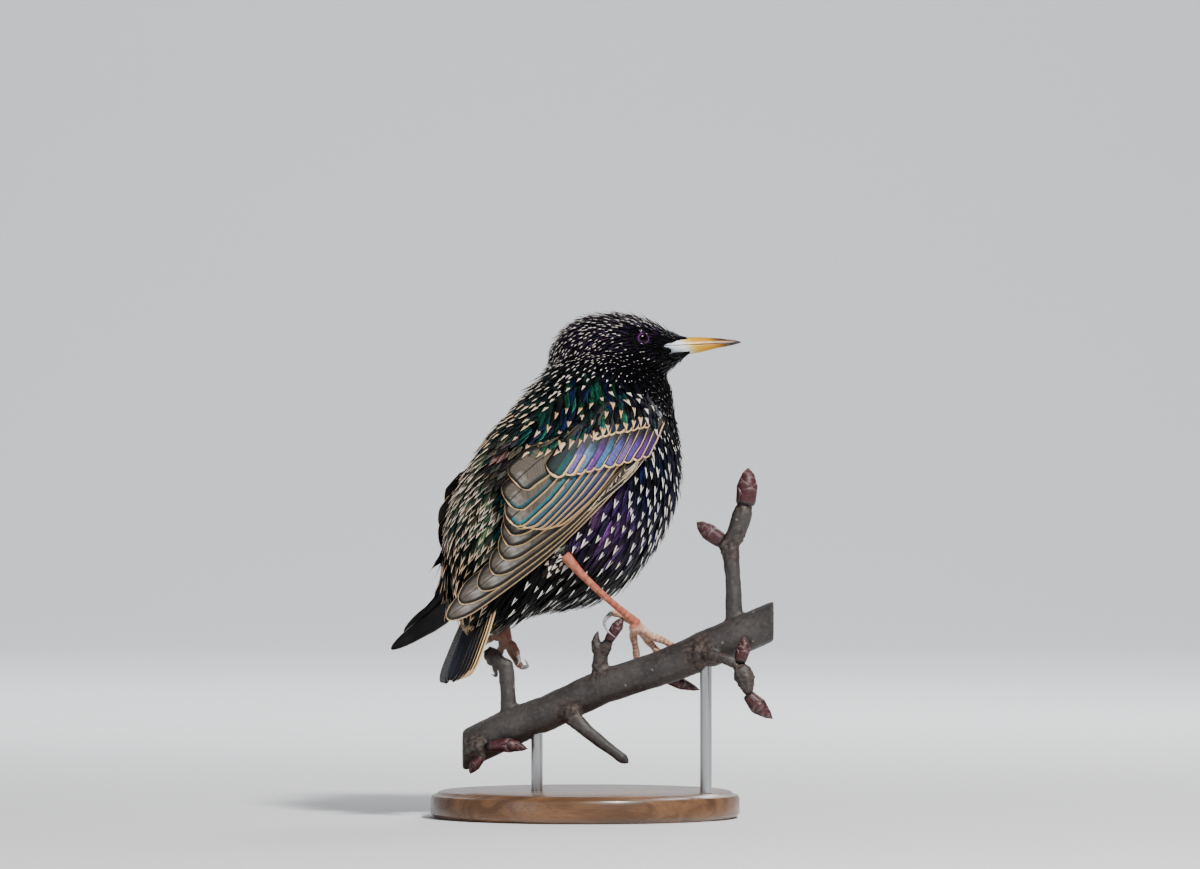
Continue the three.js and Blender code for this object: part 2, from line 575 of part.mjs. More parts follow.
const materials = {
  plumage: new THREE.MeshStandardMaterial({ color: 0x17171c, roughness: 0.45 }),
  wingFeathers: new THREE.MeshStandardMaterial({ color: 0x4a4038, roughness: 0.5 }),
  bill: new THREE.MeshStandardMaterial({ color: 0xd9a441, roughness: 0.35 }),
  eye: new THREE.MeshStandardMaterial({ color: 0x0b0809, roughness: 0.06 }),
  legSkin: new THREE.MeshStandardMaterial({ color: 0xc9745c, roughness: 0.5 }),
  bark: new THREE.MeshStandardMaterial({ color: 0x4b4a4c, roughness: 0.8 }),
  buds: new THREE.MeshStandardMaterial({ color: 0x7a3540, roughness: 0.6 }),
  wood: new THREE.MeshStandardMaterial({ color: 0x6b4a33, roughness: 0.55 }),
  steel: new THREE.MeshStandardMaterial({ color: 0x9a9ca0, roughness: 0.3, metalness: 1 }),
};

function headNode() {
  let head = slabOf(join([wholeBody, lidRing(1), lidRing(-1)]), upperCut, null);
  for (const cut of [eyeball(1, seam), eyeball(-1, seam), billHalf(true, socket), billHalf(false, socket)]) {
    head = head.subtract(cut);
  }
  return head;
}

function branchNode() {
  const { path, radii } = {
    path: branchLine.map(([x, z]) => [x, branchDepth(x), z]),
    radii: branchLine.map(([, , radius]) => radius),
  };
  let wood = limb(path, radii, { around: 12, steps: 16 });
  wood = wood.trimByPlane([1, 0, 0], branchCuts[0]).trimByPlane([-1, 0, 0], -branchCuts[1]);
  wood = join([wood, ...twigs.map((twig) => limbOf(twig))]);
  for (const bud of Object.values(buds)) wood = wood.subtract(limbOf(bud, socket));
  for (const x of rods) wood = wood.subtract(rodAt(x, seam));
  return wood;
}

const bird = new THREE.Group();
bird.rotation.z = radians(bodyTurn);
bird.position.y = birdDepth;
const upperBill = billHalf(true).subtract(nostrilAt(1)).subtract(nostrilAt(-1));
bird.add(
  meshOf("torso", slabOf(wholeBody, null, lowerCut), materials.plumage),
  meshOf("neck", slabOf(wholeBody, lowerCut, upperCut), materials.plumage),
  meshOf("head", headNode(), materials.plumage),
  meshOf("bill_upper", upperBill, materials.bill),
  meshOf("bill_lower", billHalf(false), materials.bill),
  meshOf("eye_left", eyeball(1), materials.eye),
  meshOf("eye_right", eyeball(-1), materials.eye),
  meshOf("wing_right", wing(onWing), materials.wingFeathers),
  meshOf("wing_left", wing(onLeftWing), materials.wingFeathers),
  meshOf("tail", tail(), materials.wingFeathers),
);
for (const side of ["right", "left"]) {
  const { thigh, tarsus, foot } = legParts(side);
  bird.add(
    meshOf(`thigh_${side}`, thigh, materials.plumage),
    meshOf(`tarsus_${side}`, tarsus, materials.legSkin),
    meshOf(`foot_${side}`, foot, materials.legSkin),
  );
}

const perch = new THREE.Group();
perch.add(meshOf("perch_branch", branchNode(), materials.bark));
for (const [name, bud] of Object.entries(buds)) perch.add(meshOf(`perch_bud_${name}`, limbOf(bud), materials.buds));

const stand = new THREE.Group();
let foot = standBase();
for (const [name, x] of Object.entries(rodPlaces)) {
  stand.add(meshOf(`stand_rod_${name}`, rodAt(x), materials.steel));
  foot = foot.subtract(rodAt(x, seam));
}
stand.add(meshOf("stand_base", foot, materials.wood));

const model = new THREE.Group();
model.add(bird, perch, stand);
export default model;
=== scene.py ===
# A life-size starling on a cut branch: skin, feathers, bill, eyes, legs, bark, stand, light and camera
import math
import bpy, bmesh
import numpy as np
from mathutils import Vector, Matrix, noise
from mathutils.bvhtree import BVHTree
from mathutils.kdtree import KDTree


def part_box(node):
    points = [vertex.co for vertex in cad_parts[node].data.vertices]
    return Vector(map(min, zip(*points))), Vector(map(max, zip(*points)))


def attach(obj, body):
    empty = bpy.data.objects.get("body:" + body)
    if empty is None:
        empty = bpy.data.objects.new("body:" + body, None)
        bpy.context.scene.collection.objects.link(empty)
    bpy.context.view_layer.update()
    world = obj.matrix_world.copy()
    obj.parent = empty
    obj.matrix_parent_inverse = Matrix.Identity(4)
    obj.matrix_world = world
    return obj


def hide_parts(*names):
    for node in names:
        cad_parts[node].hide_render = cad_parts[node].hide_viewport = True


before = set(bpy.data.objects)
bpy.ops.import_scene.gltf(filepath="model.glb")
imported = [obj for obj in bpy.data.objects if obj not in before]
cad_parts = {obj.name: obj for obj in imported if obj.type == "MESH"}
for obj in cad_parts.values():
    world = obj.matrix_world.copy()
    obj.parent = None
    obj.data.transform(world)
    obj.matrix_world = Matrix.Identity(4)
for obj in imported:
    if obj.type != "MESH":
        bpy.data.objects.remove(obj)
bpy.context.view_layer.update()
scene = bpy.context.scene
rng = np.random.default_rng(7)  # one seed, so the bird is the same every run
mm = 0.001
print("frame loaded")

# camera, level with the bird and on the photo's axis
camera = {"lens": 250, "sensor": 36, "farEnd": 30, "distance": 3.125, "across": 0.0056, "height": 0.1434}
lensData = bpy.data.cameras.new("camera")
lensData.lens = camera["lens"]
lensData.sensor_width = camera["sensor"]
lensData.clip_end = camera["farEnd"]
cameraObject = bpy.data.objects.new("camera", lensData)
cameraObject.location = (camera["across"], -camera["distance"], camera["height"])
cameraObject.rotation_euler = (math.radians(90), 0, 0)
scene.collection.objects.link(cameraObject)
scene.camera = cameraObject


# small helpers for numbers
def smooth(low, high, value):
    part = np.clip((value - low) / (high - low), 0, 1)
    return part * part * (3 - 2 * part)


def blend(first, second, part):
    return first + (second - first) * part


def alongKeys(keys, place, column=1):
    # a value that runs straight from key to key
    return np.interp(place, [k[0] for k in keys], [k[column] for k in keys])


def unit(vectors, least=0.0):
    # vectors of length 1
    return vectors / (np.linalg.norm(vectors, axis=-1, keepdims=True) + least)


def turned(points, degrees, first=0, second=1):
    # turns points from the first axis towards the second
    c, s = math.cos(math.radians(degrees)), math.sin(math.radians(degrees))
    out = np.array(points, float)
    out[..., first] = points[..., first] * c - points[..., second] * s
    out[..., second] = points[..., first] * s + points[..., second] * c
    return out


# the bird's stance, in millimetres and degrees
stance = {"bodyTurn": 32, "headTurn": -28, "depth": 10, "neckForward": 9.3}


def fromBird(points):
    return turned(np.asarray(points, float), stance["bodyTurn"]) + [0, stance["depth"], 0]


def toBird(points):
    return turned(np.asarray(points, float) - [0, stance["depth"], 0], -stance["bodyTurn"])


def fromHead(points):
    return fromBird(turned(points, stance["headTurn"]) + [stance["neckForward"], 0, 0])


def toHead(points):
    return turned(toBird(points) - [stance["neckForward"], 0, 0], -stance["headTurn"])


def headSpot(forward, left, height):
    return fromHead(np.array([forward, left, height], float))


# objects and meshes
def newObject(name, mesh, material, replaced=()):
    piece = bpy.data.objects.new(name, mesh)
    scene.collection.objects.link(piece)
    mesh.materials.clear()
    for item in material if isinstance(material, list) else [material]:
        mesh.materials.append(item)
    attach(piece, "root")
    if replaced:
        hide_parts(*replaced)
    return piece


def shadeSmooth(mesh):
    mesh.polygons.foreach_set("use_smooth", [True] * len(mesh.polygons))


def finished(shape, name, outward=True):
    # ends a bmesh as a smooth mesh
    if outward:
        bmesh.ops.recalc_face_normals(shape, faces=shape.faces)
    mesh = bpy.data.meshes.new(name)
    shape.to_mesh(mesh)
    shape.free()
    shadeSmooth(mesh)
    return mesh


def unitBall(around, along):
    # a sphere of radius 1, and its points
    shape = bmesh.new()
    bmesh.ops.create_uvsphere(shape, u_segments=around, v_segments=along, radius=1)
    return shape, np.array([v.co[:] for v in shape.verts])


def shaped(shape, places, name):
    for vertex, place in zip(shape.verts, places):
        vertex.co = place * mm
    return finished(shape, name)


def appliedMesh(piece):
    graph = bpy.context.evaluated_depsgraph_get()
    mesh = bpy.data.meshes.new_from_object(piece.evaluated_get(graph))
    bpy.data.objects.remove(piece)
    return mesh


def joinedBlank(name, meshes):
    # one closed, merged copy of several meshes
    shape = bmesh.new()
    for mesh in meshes:
        shape.from_mesh(mesh)
    bmesh.ops.remove_doubles(shape, verts=shape.verts, dist=2e-6)
    return finished(shape, name, False)


def remeshed(name, meshes, voxel, rounds, factor=0.5):
    # fuses the meshes into one even skin and smooths it
    piece = bpy.data.objects.new(name, joinedBlank(name, meshes))
    scene.collection.objects.link(piece)
    fuse = piece.modifiers.new("fuse", "REMESH")
    fuse.mode = "VOXEL"
    fuse.voxel_size = voxel
    if rounds:
        soften = piece.modifiers.new("soften", "SMOOTH")
        soften.factor = factor
        soften.iterations = rounds
    mesh = appliedMesh(piece)
    shadeSmooth(mesh)
    return mesh


def pointsOf(mesh):
    co = np.zeros(len(mesh.vertices) * 3)
    mesh.vertices.foreach_get("co", co)
    return co.reshape(-1, 3) / mm


def normalsOf(mesh):
    out = np.zeros(len(mesh.vertices) * 3, np.float32)
    mesh.vertex_normals.foreach_get("vector", out)
    return out.reshape(-1, 3).astype(float)


def setPoints(mesh, points):
    mesh.vertices.foreach_set("co", (points * mm).ravel())
    mesh.update()


def colourAttribute(mesh, name, colours):
    layer = mesh.attributes.new(name, "FLOAT_COLOR", "POINT")
    full = np.ones((len(mesh.vertices), 4), np.float32)
    full[:, : colours.shape[1]] = colours
    layer.data.foreach_set("color", full.ravel())


def valueAttribute(mesh, name, values):
    layer = mesh.attributes.new(name, "FLOAT", "POINT")
    layer.data.foreach_set("value", np.asarray(values, np.float32))


def uvLayer(mesh, name, perVertex):
    layer = mesh.uv_layers.new(name=name)
    loops = np.zeros(len(mesh.loops), np.int32)
    mesh.loops.foreach_get("vertex_index", loops)
    layer.data.foreach_set("uv", np.asarray(perVertex, np.float32)[loops].ravel())


def tube(name, paths, fine=12, steps=8):
    # round limbs through points, from curves with a radius at each point
    curve = bpy.data.curves.new(name, "CURVE")
    curve.dimensions = "3D"
    curve.bevel_depth = mm
    curve.bevel_resolution = fine // 4
    curve.use_fill_caps = True
    curve.resolution_u = steps
    for points, radii in paths:
        spline = curve.splines.new("NURBS")
        spline.points.add(len(points) - 1)
        spline.order_u = min(4, len(points))
        spline.use_endpoint_u = True
        for item, place, radius in zip(spline.points, points, radii):
            item.co = (*[v * mm for v in place], 1)
            item.radius = radius
    piece = bpy.data.objects.new(name, curve)
    scene.collection.objects.link(piece)
    return appliedMesh(piece)


# materials: a Principled shader with short ways to add nodes before it
def newMaterial(name, **sockets):
    made = bpy.data.materials.new(name)
    made.use_nodes = True
    shader = made.node_tree.nodes["Principled BSDF"]
    for key, value in sockets.items():
        shader.inputs[key.replace("_", " ")].default_value = value
    return made, made.node_tree, shader


class Wire:
    # an output of a node that can be reckoned with: each sign adds one Math node behind it
    def __init__(self, socket):
        self.socket = socket

    def __add__(self, other):
        return maths("ADD", self, other)

    def __sub__(self, other):
        return maths("SUBTRACT", self, other)

    def __rsub__(self, other):
        return maths("SUBTRACT", other, self)

    def __mul__(self, other):
        return maths("MULTIPLY", self, other)

    def __pow__(self, other):
        return maths("POWER", self, other)

    def __abs__(self):
        return maths("ABSOLUTE", self)

    def beside(self, key):
        return Wire(self.socket.node.outputs[key])


def treeBehind(*values):
    return next(v.socket.id_data for v in values if isinstance(v, Wire))


def feed(socket, value):
    if isinstance(value, Wire):
        socket.id_data.links.new(value.socket, socket)
    else:
        socket.default_value = value


def put(tree, kind, values=None, out=0, **settings):
    # a node with its settings and values, as the wire of one output
    item = tree.nodes.new("ShaderNode" + kind)
    for key, value in settings.items():
        setattr(item, key, value)
    for key, value in (values or {}).items():
        feed(item.inputs[key], value)
    return Wire(item.outputs[out])


def maths(operation, *values):
    return put(treeBehind(*values), "Math", dict(enumerate(values)), operation=operation)


def stretch(value, low, high):
    # 0 to 1 between two values, with soft ends
    return put(treeBehind(value), "MapRange", {0: value, 1: low, 2: high}, interpolation_type="SMOOTHSTEP")


def mixed(part, first, second):
    return put(treeBehind(part, first, second), "Mix", {0: part, 6: first, 7: second}, 2, data_type="RGBA")


def split(wire, kind="XYZ"):
    return [Wire(s) for s in put(treeBehind(wire), "Separate" + kind, {0: wire}).socket.node.outputs]


def noiseOf(vector, scale, detail=3.0, rough=0.5, **more):
    values = {"Vector": vector, "Scale": scale, "Detail": detail, "Roughness": rough, **more}
    return put(treeBehind(vector), "TexNoise", values)


def objectCoords(tree, scale=(1, 1, 1)):
    return put(tree, "Mapping", {"Vector": put(tree, "TexCoord", out="Object"), "Scale": scale})


def attribute(tree, name, out="Fac"):
    return put(tree, "Attribute", out=out, attribute_name=name)


def bump(shader, height, strength=0.3, distance=0.0002):
    values = {"Height": height, "Strength": strength, "Distance": distance}
    feed(shader.inputs["Normal"], put(treeBehind(height), "Bump", values))


def rgb(r, g, b):
    return (r, g, b, 1.0)


# barbs of a feather: fine slanted lines on both sides of the shaft, as a streak mask and a height
def barbGroup():
    group = bpy.data.node_groups.new("featherBarbs", "ShaderNodeTree")
    for name, kind in (("vane", "Vector"), ("vary", "Float"), ("slant", "Float"), ("lines", "Float")):
        group.interface.new_socket(name, in_out="INPUT", socket_type="NodeSocket" + kind)
    for name in ("streak", "height"):
        group.interface.new_socket(name, in_out="OUTPUT", socket_type="NodeSocketFloat")
    vane, vary, slant, lines = (Wire(s) for s in group.nodes.new("NodeGroupInput").outputs[:4])
    end = group.nodes.new("NodeGroupOutput")
    across, along, _ = split(vane)
    barb = (along - abs(across * 2.0 - 1.0) * slant) * lines
    seed = vary * 37.0
    coarse = noiseOf(put(group, "CombineXYZ", {0: barb, 1: across * 1.5 + seed, 2: seed}), 0.55, 4.0, 0.62)
    wave = maths("SINE", barb * 6.283) * 0.5 + 0.5
    feed(end.inputs["streak"], stretch(coarse, 0.4, 0.68))
    feed(end.inputs["height"], wave * 0.5 + coarse)
    return group


barbs = barbGroup()


def barbNode(tree, slant, lines):
    # the barbs' streak and height, the place along and across the vane, and the two sets of marks
    vane = put(tree, "UVMap", uv_map="vane")
    across, along, _ = split(vane)
    colour = attribute(tree, "marks", "Color")
    marks = [*split(colour, "Color"), colour.beside("Alpha")]
    item = tree.nodes.new("ShaderNodeGroup")
    item.node_tree = barbs
    for key, value in {"vane": vane, "vary": marks[2], "slant": slant, "lines": lines}.items():
        feed(item.inputs[key], value)
    streak, height = (Wire(s) for s in item.outputs[:2])
    return streak, height, along, across * 2.0 - 1.0, marks, split(attribute(tree, "look", "Color"), "Color")


# body feathers: black with a coloured gloss along the barbs, and a pale spot or edge at the tip
plumage = {
    "black": rgb(0.0008, 0.0008, 0.001), "white": rgb(0.92, 0.9, 0.84), "buff": rgb(0.86, 0.56, 0.29),
    "rust": rgb(0.36, 0.12, 0.03), "rough": 0.32, "metal": 0.85, "specular": 0.12,
}


def plumageMaterial():
    made, tree, shader = newMaterial("plumageGloss", Specular_IOR_Level=plumage["specular"])
    streaks, relief, along, across, marks, look = barbNode(tree, 1.1, 24.0)
    (size, warm, _, under), (rim, fringe, straight) = marks, look
    side = abs(across)
    ragged = relief * 0.07 - 0.05
    notch = stretch(side, 0.5, 0.05) * (straight * -0.5 + 0.55)
    reach = size * (1.0 - notch)
    spotEdge = along + ragged - 1.0 + reach
    spot = stretch(spotEdge, 0.0, 0.03) * stretch(size, 0.02, 0.05)
    shaftLine = stretch(side, 0.16, 0.04) * stretch(along, 0.95, 0.86)
    spot = spot * (1.0 - shaftLine * (straight * -0.8 + 0.85))
    rough = rim + (relief * 0.5 - 0.35)
    edge = fringe - rough
    edge = stretch(edge, 0.0, 0.14) * stretch(along, 0.66, 0.8)
    edge = edge * stretch(fringe, 0.02, 0.1)
    pale = mixed(warm, plumage["white"], plumage["buff"])
    core = stretch(side, 0.6, 0.1) * (stretch(spotEdge, 0.16, 0.03) * warm)
    pale = mixed(core * 0.75, pale, plumage["rust"])
    gloss = attribute(tree, "gloss", "Color")
    streak = streaks ** 2.0
    dark = mixed(streak * 0.97 + 0.03, plumage["black"], gloss)
    mask = maths("MAXIMUM", spot, edge)
    colour = mixed(mask, dark, pale)
    # the underside of each vane is painted plain black and gets no gloss: a painted shade
    feed(shader.inputs["Base Color"], mixed(under, colour, plumage["black"]))
    bare = 1.0 - maths("MAXIMUM", mask, under)
    metal = (streak * 0.8 + 0.2) * attribute(tree, "gloss", "Alpha")
    feed(shader.inputs["Metallic"], bare * (metal * plumage["metal"]))
    rough = relief * 0.2 + (plumage["rough"] - 0.1)
    feed(shader.inputs["Roughness"], maths("MAXIMUM", rough, mask * 0.8))
    bump(shader, relief, 0.35, 0.00012)
    return made


# flight feathers: brown grey webs with a dark border, a long cream edge, a pale panel and a gloss
quills = {
    "web": rgb(0.13, 0.105, 0.08), "dusk": rgb(0.012, 0.011, 0.013), "border": rgb(0.002, 0.002, 0.0025),
    "panel": rgb(0.36, 0.34, 0.33), "edge": rgb(0.85, 0.56, 0.28), "shaft": rgb(0.008, 0.006, 0.005),
    "rough": 0.44,
}


def quillMaterial():
    made, tree, shader = newMaterial("flightFeathers", Specular_IOR_Level=0.25)
    streaks, relief, along, across, marks, look = barbNode(tree, 0.12, 80.0)
    (edgeWide, tone, _, under), (rim, glossPart, panelPart) = marks, look
    side = abs(across)
    outer = stretch(across, 0.04, -0.04)
    drawnOut = put(tree, "Mapping", {"Vector": put(tree, "UVMap", uv_map="vane"), "Scale": (3.0, 9.0, 1.0)})
    cloud = stretch(noiseOf(drawnOut, 1.6, 3.0), 0.35, 0.65)
    web = mixed(tone, quills["dusk"], quills["web"])
    web = mixed(streaks * 0.75, web, mixed(0.6, web, quills["border"]))
    nearTip = stretch(along, 0.8, 0.86) * stretch(along, 0.965, 0.93)
    window = stretch(across, -0.72, -0.56) * stretch(across, 0.3, 0.14)
    panel = nearTip * window * (panelPart * (cloud * 0.75 + 0.25))
    web = mixed(panel, web, quills["panel"])
    inset = rim - edgeWide
    border = stretch(inset, 1.5, 0.7) * stretch(along, 0.2, 0.45)
    web = mixed(border * 0.9, web, quills["border"])
    gloss = attribute(tree, "gloss", "Color")
    whole = stretch(glossPart, 0.55, 0.75)
    stripe = stretch(inset, 0.35, 0.8) * stretch(inset, 2.0, 1.2) * outer
    spread = stretch(inset, 0.0, 0.7) * (outer * 0.75 + 0.25)
    shine = mixed(whole, put(tree, "CombineXYZ", {0: stripe}), put(tree, "CombineXYZ", {0: spread}))
    shine = put(tree, "SeparateXYZ", {0: shine})
    low = maths("MAXIMUM", stretch(along, 0.3, 0.72), 1.0 - whole)
    shine = shine * low
    glint = stretch(relief, 0.35, 1.0) * stretch(cloud, -0.6, 0.7)
    shine = shine * stretch(glossPart, 0.0, 0.6) * (glint * 0.8 + 0.2)
    web = mixed(shine, web, gloss)
    shaft = stretch(side, 0.06, 0.03) * 0.8
    web = mixed(shaft, web, quills["shaft"])
    atTip = stretch(along, 0.9, 0.97)
    wide = edgeWide * maths("MAXIMUM", outer * 0.82 + 0.18, atTip * 0.8)
    fromRoot = stretch(maths("MINIMUM", panelPart, 0.0) * 0.5 + along, 0.06, 0.16)
    line = stretch(wide - rim, -0.05, 0.08) * fromRoot
    rusty = stretch(edgeWide, 0.75, 1.1) * stretch(edgeWide, 3.0, 2.0)
    pale = mixed(rusty * stretch(side, 0.7, 0.1), quills["edge"], rgb(0.55, 0.26, 0.08))
    pale = mixed(stretch(edgeWide, 0.5, 0.3), pale, rgb(0.84, 0.68, 0.48))
    colour = mixed(line, web, pale)
    # the underside of every vane is painted near black, a painted shade; the real underside is grey-brown
    feed(shader.inputs["Base Color"], mixed(under * 0.95, colour, rgb(0.003, 0.0035, 0.005)))
    feed(shader.inputs["Metallic"], shine * (1.0 - line) * 0.75)
    feed(shader.inputs["Roughness"], relief * 0.16 + (quills["rough"] - 0.08))
    bump(shader, relief, 0.3, 0.0001)
    return made


plumageLook = plumageMaterial()
quillLook = quillMaterial()


def skinMaterial():
    made, tree, shader = newMaterial("featheredSkin", Roughness=0.7, Specular_IOR_Level=0.05)
    place = objectCoords(tree)
    cloud = noiseOf(place, 900.0, 4.0, 0.6)
    colour = mixed(stretch(cloud, 0.4, 0.65), rgb(0.001, 0.001, 0.0015), rgb(0.004, 0.004, 0.005))
    feed(shader.inputs["Base Color"], colour)
    bump(shader, cloud, 0.6, 0.0004)
    return made


# the bird's spine from the base of the bill to the tail, for the lie of the coat and its unwrap
spineKeys = [headSpot(30, 0, 177), headSpot(14, 0, 176.5), headSpot(2, 0, 174), *fromBird(
    [[7, 0, 163], [3, 0, 150], [-5, 0, 129], [-16, 0, 113], [-28, 0, 98], [-39, 0, 83], [-50, 0, 66],
     [-60, 0, 46]])]


def throughPoints(keys, count):
    # an even curve through the keys
    keys = np.array(keys, float)
    padded = np.vstack([2 * keys[0] - keys[1], keys, 2 * keys[-1] - keys[-2]])
    spots = np.linspace(0, len(keys) - 1 - 1e-6, count)
    at = spots.astype(int)
    t = (spots - at)[:, None]
    p0, p1, p2, p3 = (padded[at + k] for k in range(4))
    return 0.5 * (2 * p1 + (p2 - p0) * t + (2 * p0 - 5 * p1 + 4 * p2 - p3) * t**2
                  + (3 * p1 - p0 - 3 * p2 + p3) * t**3)


spine = throughPoints(spineKeys, 160)
spineAhead = unit(np.gradient(spine, axis=0))


# meshes of the solids that the visual model is laid over, in metres
solids = {name: node.data for name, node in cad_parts.items()}
fleshNodes = ["torso", "neck", "head", "thigh_right", "thigh_left"]


def finderOf(points):
    finder = KDTree(len(points))
    for i, p in enumerate(points):
        finder.insert(p, i)
    finder.balance()
    return finder


def treeOf(mesh):
    points = pointsOf(mesh)
    return BVHTree.FromPolygons([Vector(p) for p in points], [tuple(f.vertices) for f in mesh.polygons])


bodyBlank = joinedBlank("bodyBlank", [solids[n] for n in ("torso", "neck", "head")])
bodyTree = treeOf(bodyBlank)

# the wings' plan: a runs from the wrist to the tip, b upwards, laid over the flank from the right side
wingPlan = {"across": 28.1, "height": 142.5, "slope": 41, "long": 104.5, "near": 22, "far": 48, "blend": 3,
            "rayFrom": -120, "gridX": [-80, 50.5], "gridZ": [50, 185.5], "rounds": 2}
planCos = math.cos(math.radians(wingPlan["slope"]))
planSin = math.sin(math.radians(wingPlan["slope"]))
gridX, gridZ = (np.arange(*wingPlan[key], 1.0) for key in ("gridX", "gridZ"))
gridCorner = [gridX[0], gridZ[0]]


def wingDepthGrid():
    depth = np.zeros((len(gridX), len(gridZ)))
    for i, x in enumerate(gridX):
        for j, z in enumerate(gridZ):
            away = (wingPlan["across"] - x) * planCos + (wingPlan["height"] - z) * planSin
            free = blend(wingPlan["near"], wingPlan["far"], away / wingPlan["long"])
            hit = bodyTree.ray_cast(Vector((x, wingPlan["rayFrom"], z)), Vector((0, 1, 0)))[0]
            depth[i, j] = free
            if hit is not None:
                close = (stance["depth"] - hit.y - free) / wingPlan["blend"]
                depth[i, j] = free + wingPlan["blend"] * math.log(1 + math.exp(close))
    for _ in range(wingPlan["rounds"]):
        depth[1:-1, 1:-1] = (depth[1:-1, 1:-1] * 4 + depth[2:, 1:-1] + depth[:-2, 1:-1] + depth[1:-1, 2:]
                             + depth[1:-1, :-2]) / 8
    return depth


depthGrid = wingDepthGrid()
depthSlopes = np.gradient(depthGrid, 1.0)


def overGrid(values, corner, a, b):
    # the value between the points of a grid with steps of 1 mm
    i = np.clip(a - corner[0], 0, values.shape[0] - 1.001)
    j = np.clip(b - corner[1], 0, values.shape[1] - 1.001)
    i0, j0 = i.astype(int), j.astype(int)
    u, v = i - i0, j - j0
    return (values[i0, j0] * (1 - u) * (1 - v) + values[i0 + 1, j0] * u * (1 - v)
            + values[i0, j0 + 1] * (1 - u) * v + values[i0 + 1, j0 + 1] * u * v)


def onRightWing(a, b, lift):
    x = wingPlan["across"] - a * planCos - b * planSin
    z = wingPlan["height"] - a * planSin + b * planCos
    depth, slopeX, slopeZ = (overGrid(grid, gridCorner, x, z) for grid in (depthGrid, *depthSlopes))
    normal = unit(np.stack([-slopeX, -np.ones_like(x), -slopeZ], -1))
    return np.stack([x, stance["depth"] - depth, z], -1) + normal * np.asarray(lift)[..., None]


leftDroop = {
    "spread": 8.2, "down": 6, "back": 2, "lower": 3, "round": 9.5, "roundTo": 90, "flat": 0.5,
    "wider": 1.3, "widerFrom": 60, "edge": 3,
    "shoulder": [10, 36, 142], "bendBack": [0, -1.5, -3, -2.6, -1, 3.6], "bendDown": [0, 0, 0, 0.6, 2.4, 0.4],
}


def onLeftWing(a, b, lift):
    wider = blend(1, leftDroop["wider"], np.minimum(1, a / leftDroop["widerFrom"]))
    edge = leftDroop["edge"] + (b - leftDroop["edge"]) * wider
    edge = edge - leftDroop["round"] * np.maximum(0, 1 - a / leftDroop["roundTo"])
    world = onRightWing(a, edge, lift * leftDroop["flat"])
    place = toBird(world) * [1, -1, 1] - leftDroop["shoulder"]
    place = turned(turned(place, -leftDroop["spread"]), -leftDroop["down"], 2, 0) + leftDroop["shoulder"]
    share = np.clip(a / wingPlan["long"], 0, 1) * 5
    back = np.interp(share, range(6), leftDroop["bendBack"]) + 0 * b
    down = np.interp(share, range(6), leftDroop["bendDown"]) + 0 * b
    turn = math.radians(stance["bodyTurn"])
    place = place - back[..., None] * np.array([math.cos(turn), -math.sin(turn), 0])
    place = place - down[..., None] * np.array([0, 0, 1])
    return fromBird(place - [leftDroop["back"], 0, leftDroop["lower"]])


tailPlan = {"root": [-40.3, 1.2, 88], "pitch": 66, "roll": -8, "long": 42}


def onTail(forward, sideways, lift):
    place = np.stack([forward, -sideways, np.asarray(lift) + 0 * forward], -1)
    place = turned(turned(place, tailPlan["roll"], 1, 2), tailPlan["pitch"], 2, 0) * [-1, 1, 1]
    return fromBird(place + tailPlan["root"])


# a closed vane: a grid whose top and underside share the rim
def laminaFaces(rows, columns):
    wide = columns + 1
    top = np.arange((rows + 1) * wide).reshape(rows + 1, wide)
    low = top.copy()
    low[1:-1, 1:-1] = len(top.ravel()) + np.arange((rows - 1) * (columns - 1)).reshape(rows - 1, columns - 1)
    faces = []
    for grid, order in ((top, (0, 1, 2, 3)), (low, (3, 2, 1, 0))):
        corners = [grid[:-1, :-1], grid[:-1, 1:], grid[1:, 1:], grid[1:, :-1]]
        faces.append(np.stack([corners[k] for k in order], -1).reshape(-1, 4))
    return np.vstack(faces), (rows + 1) * wide + (rows - 1) * (columns - 1)


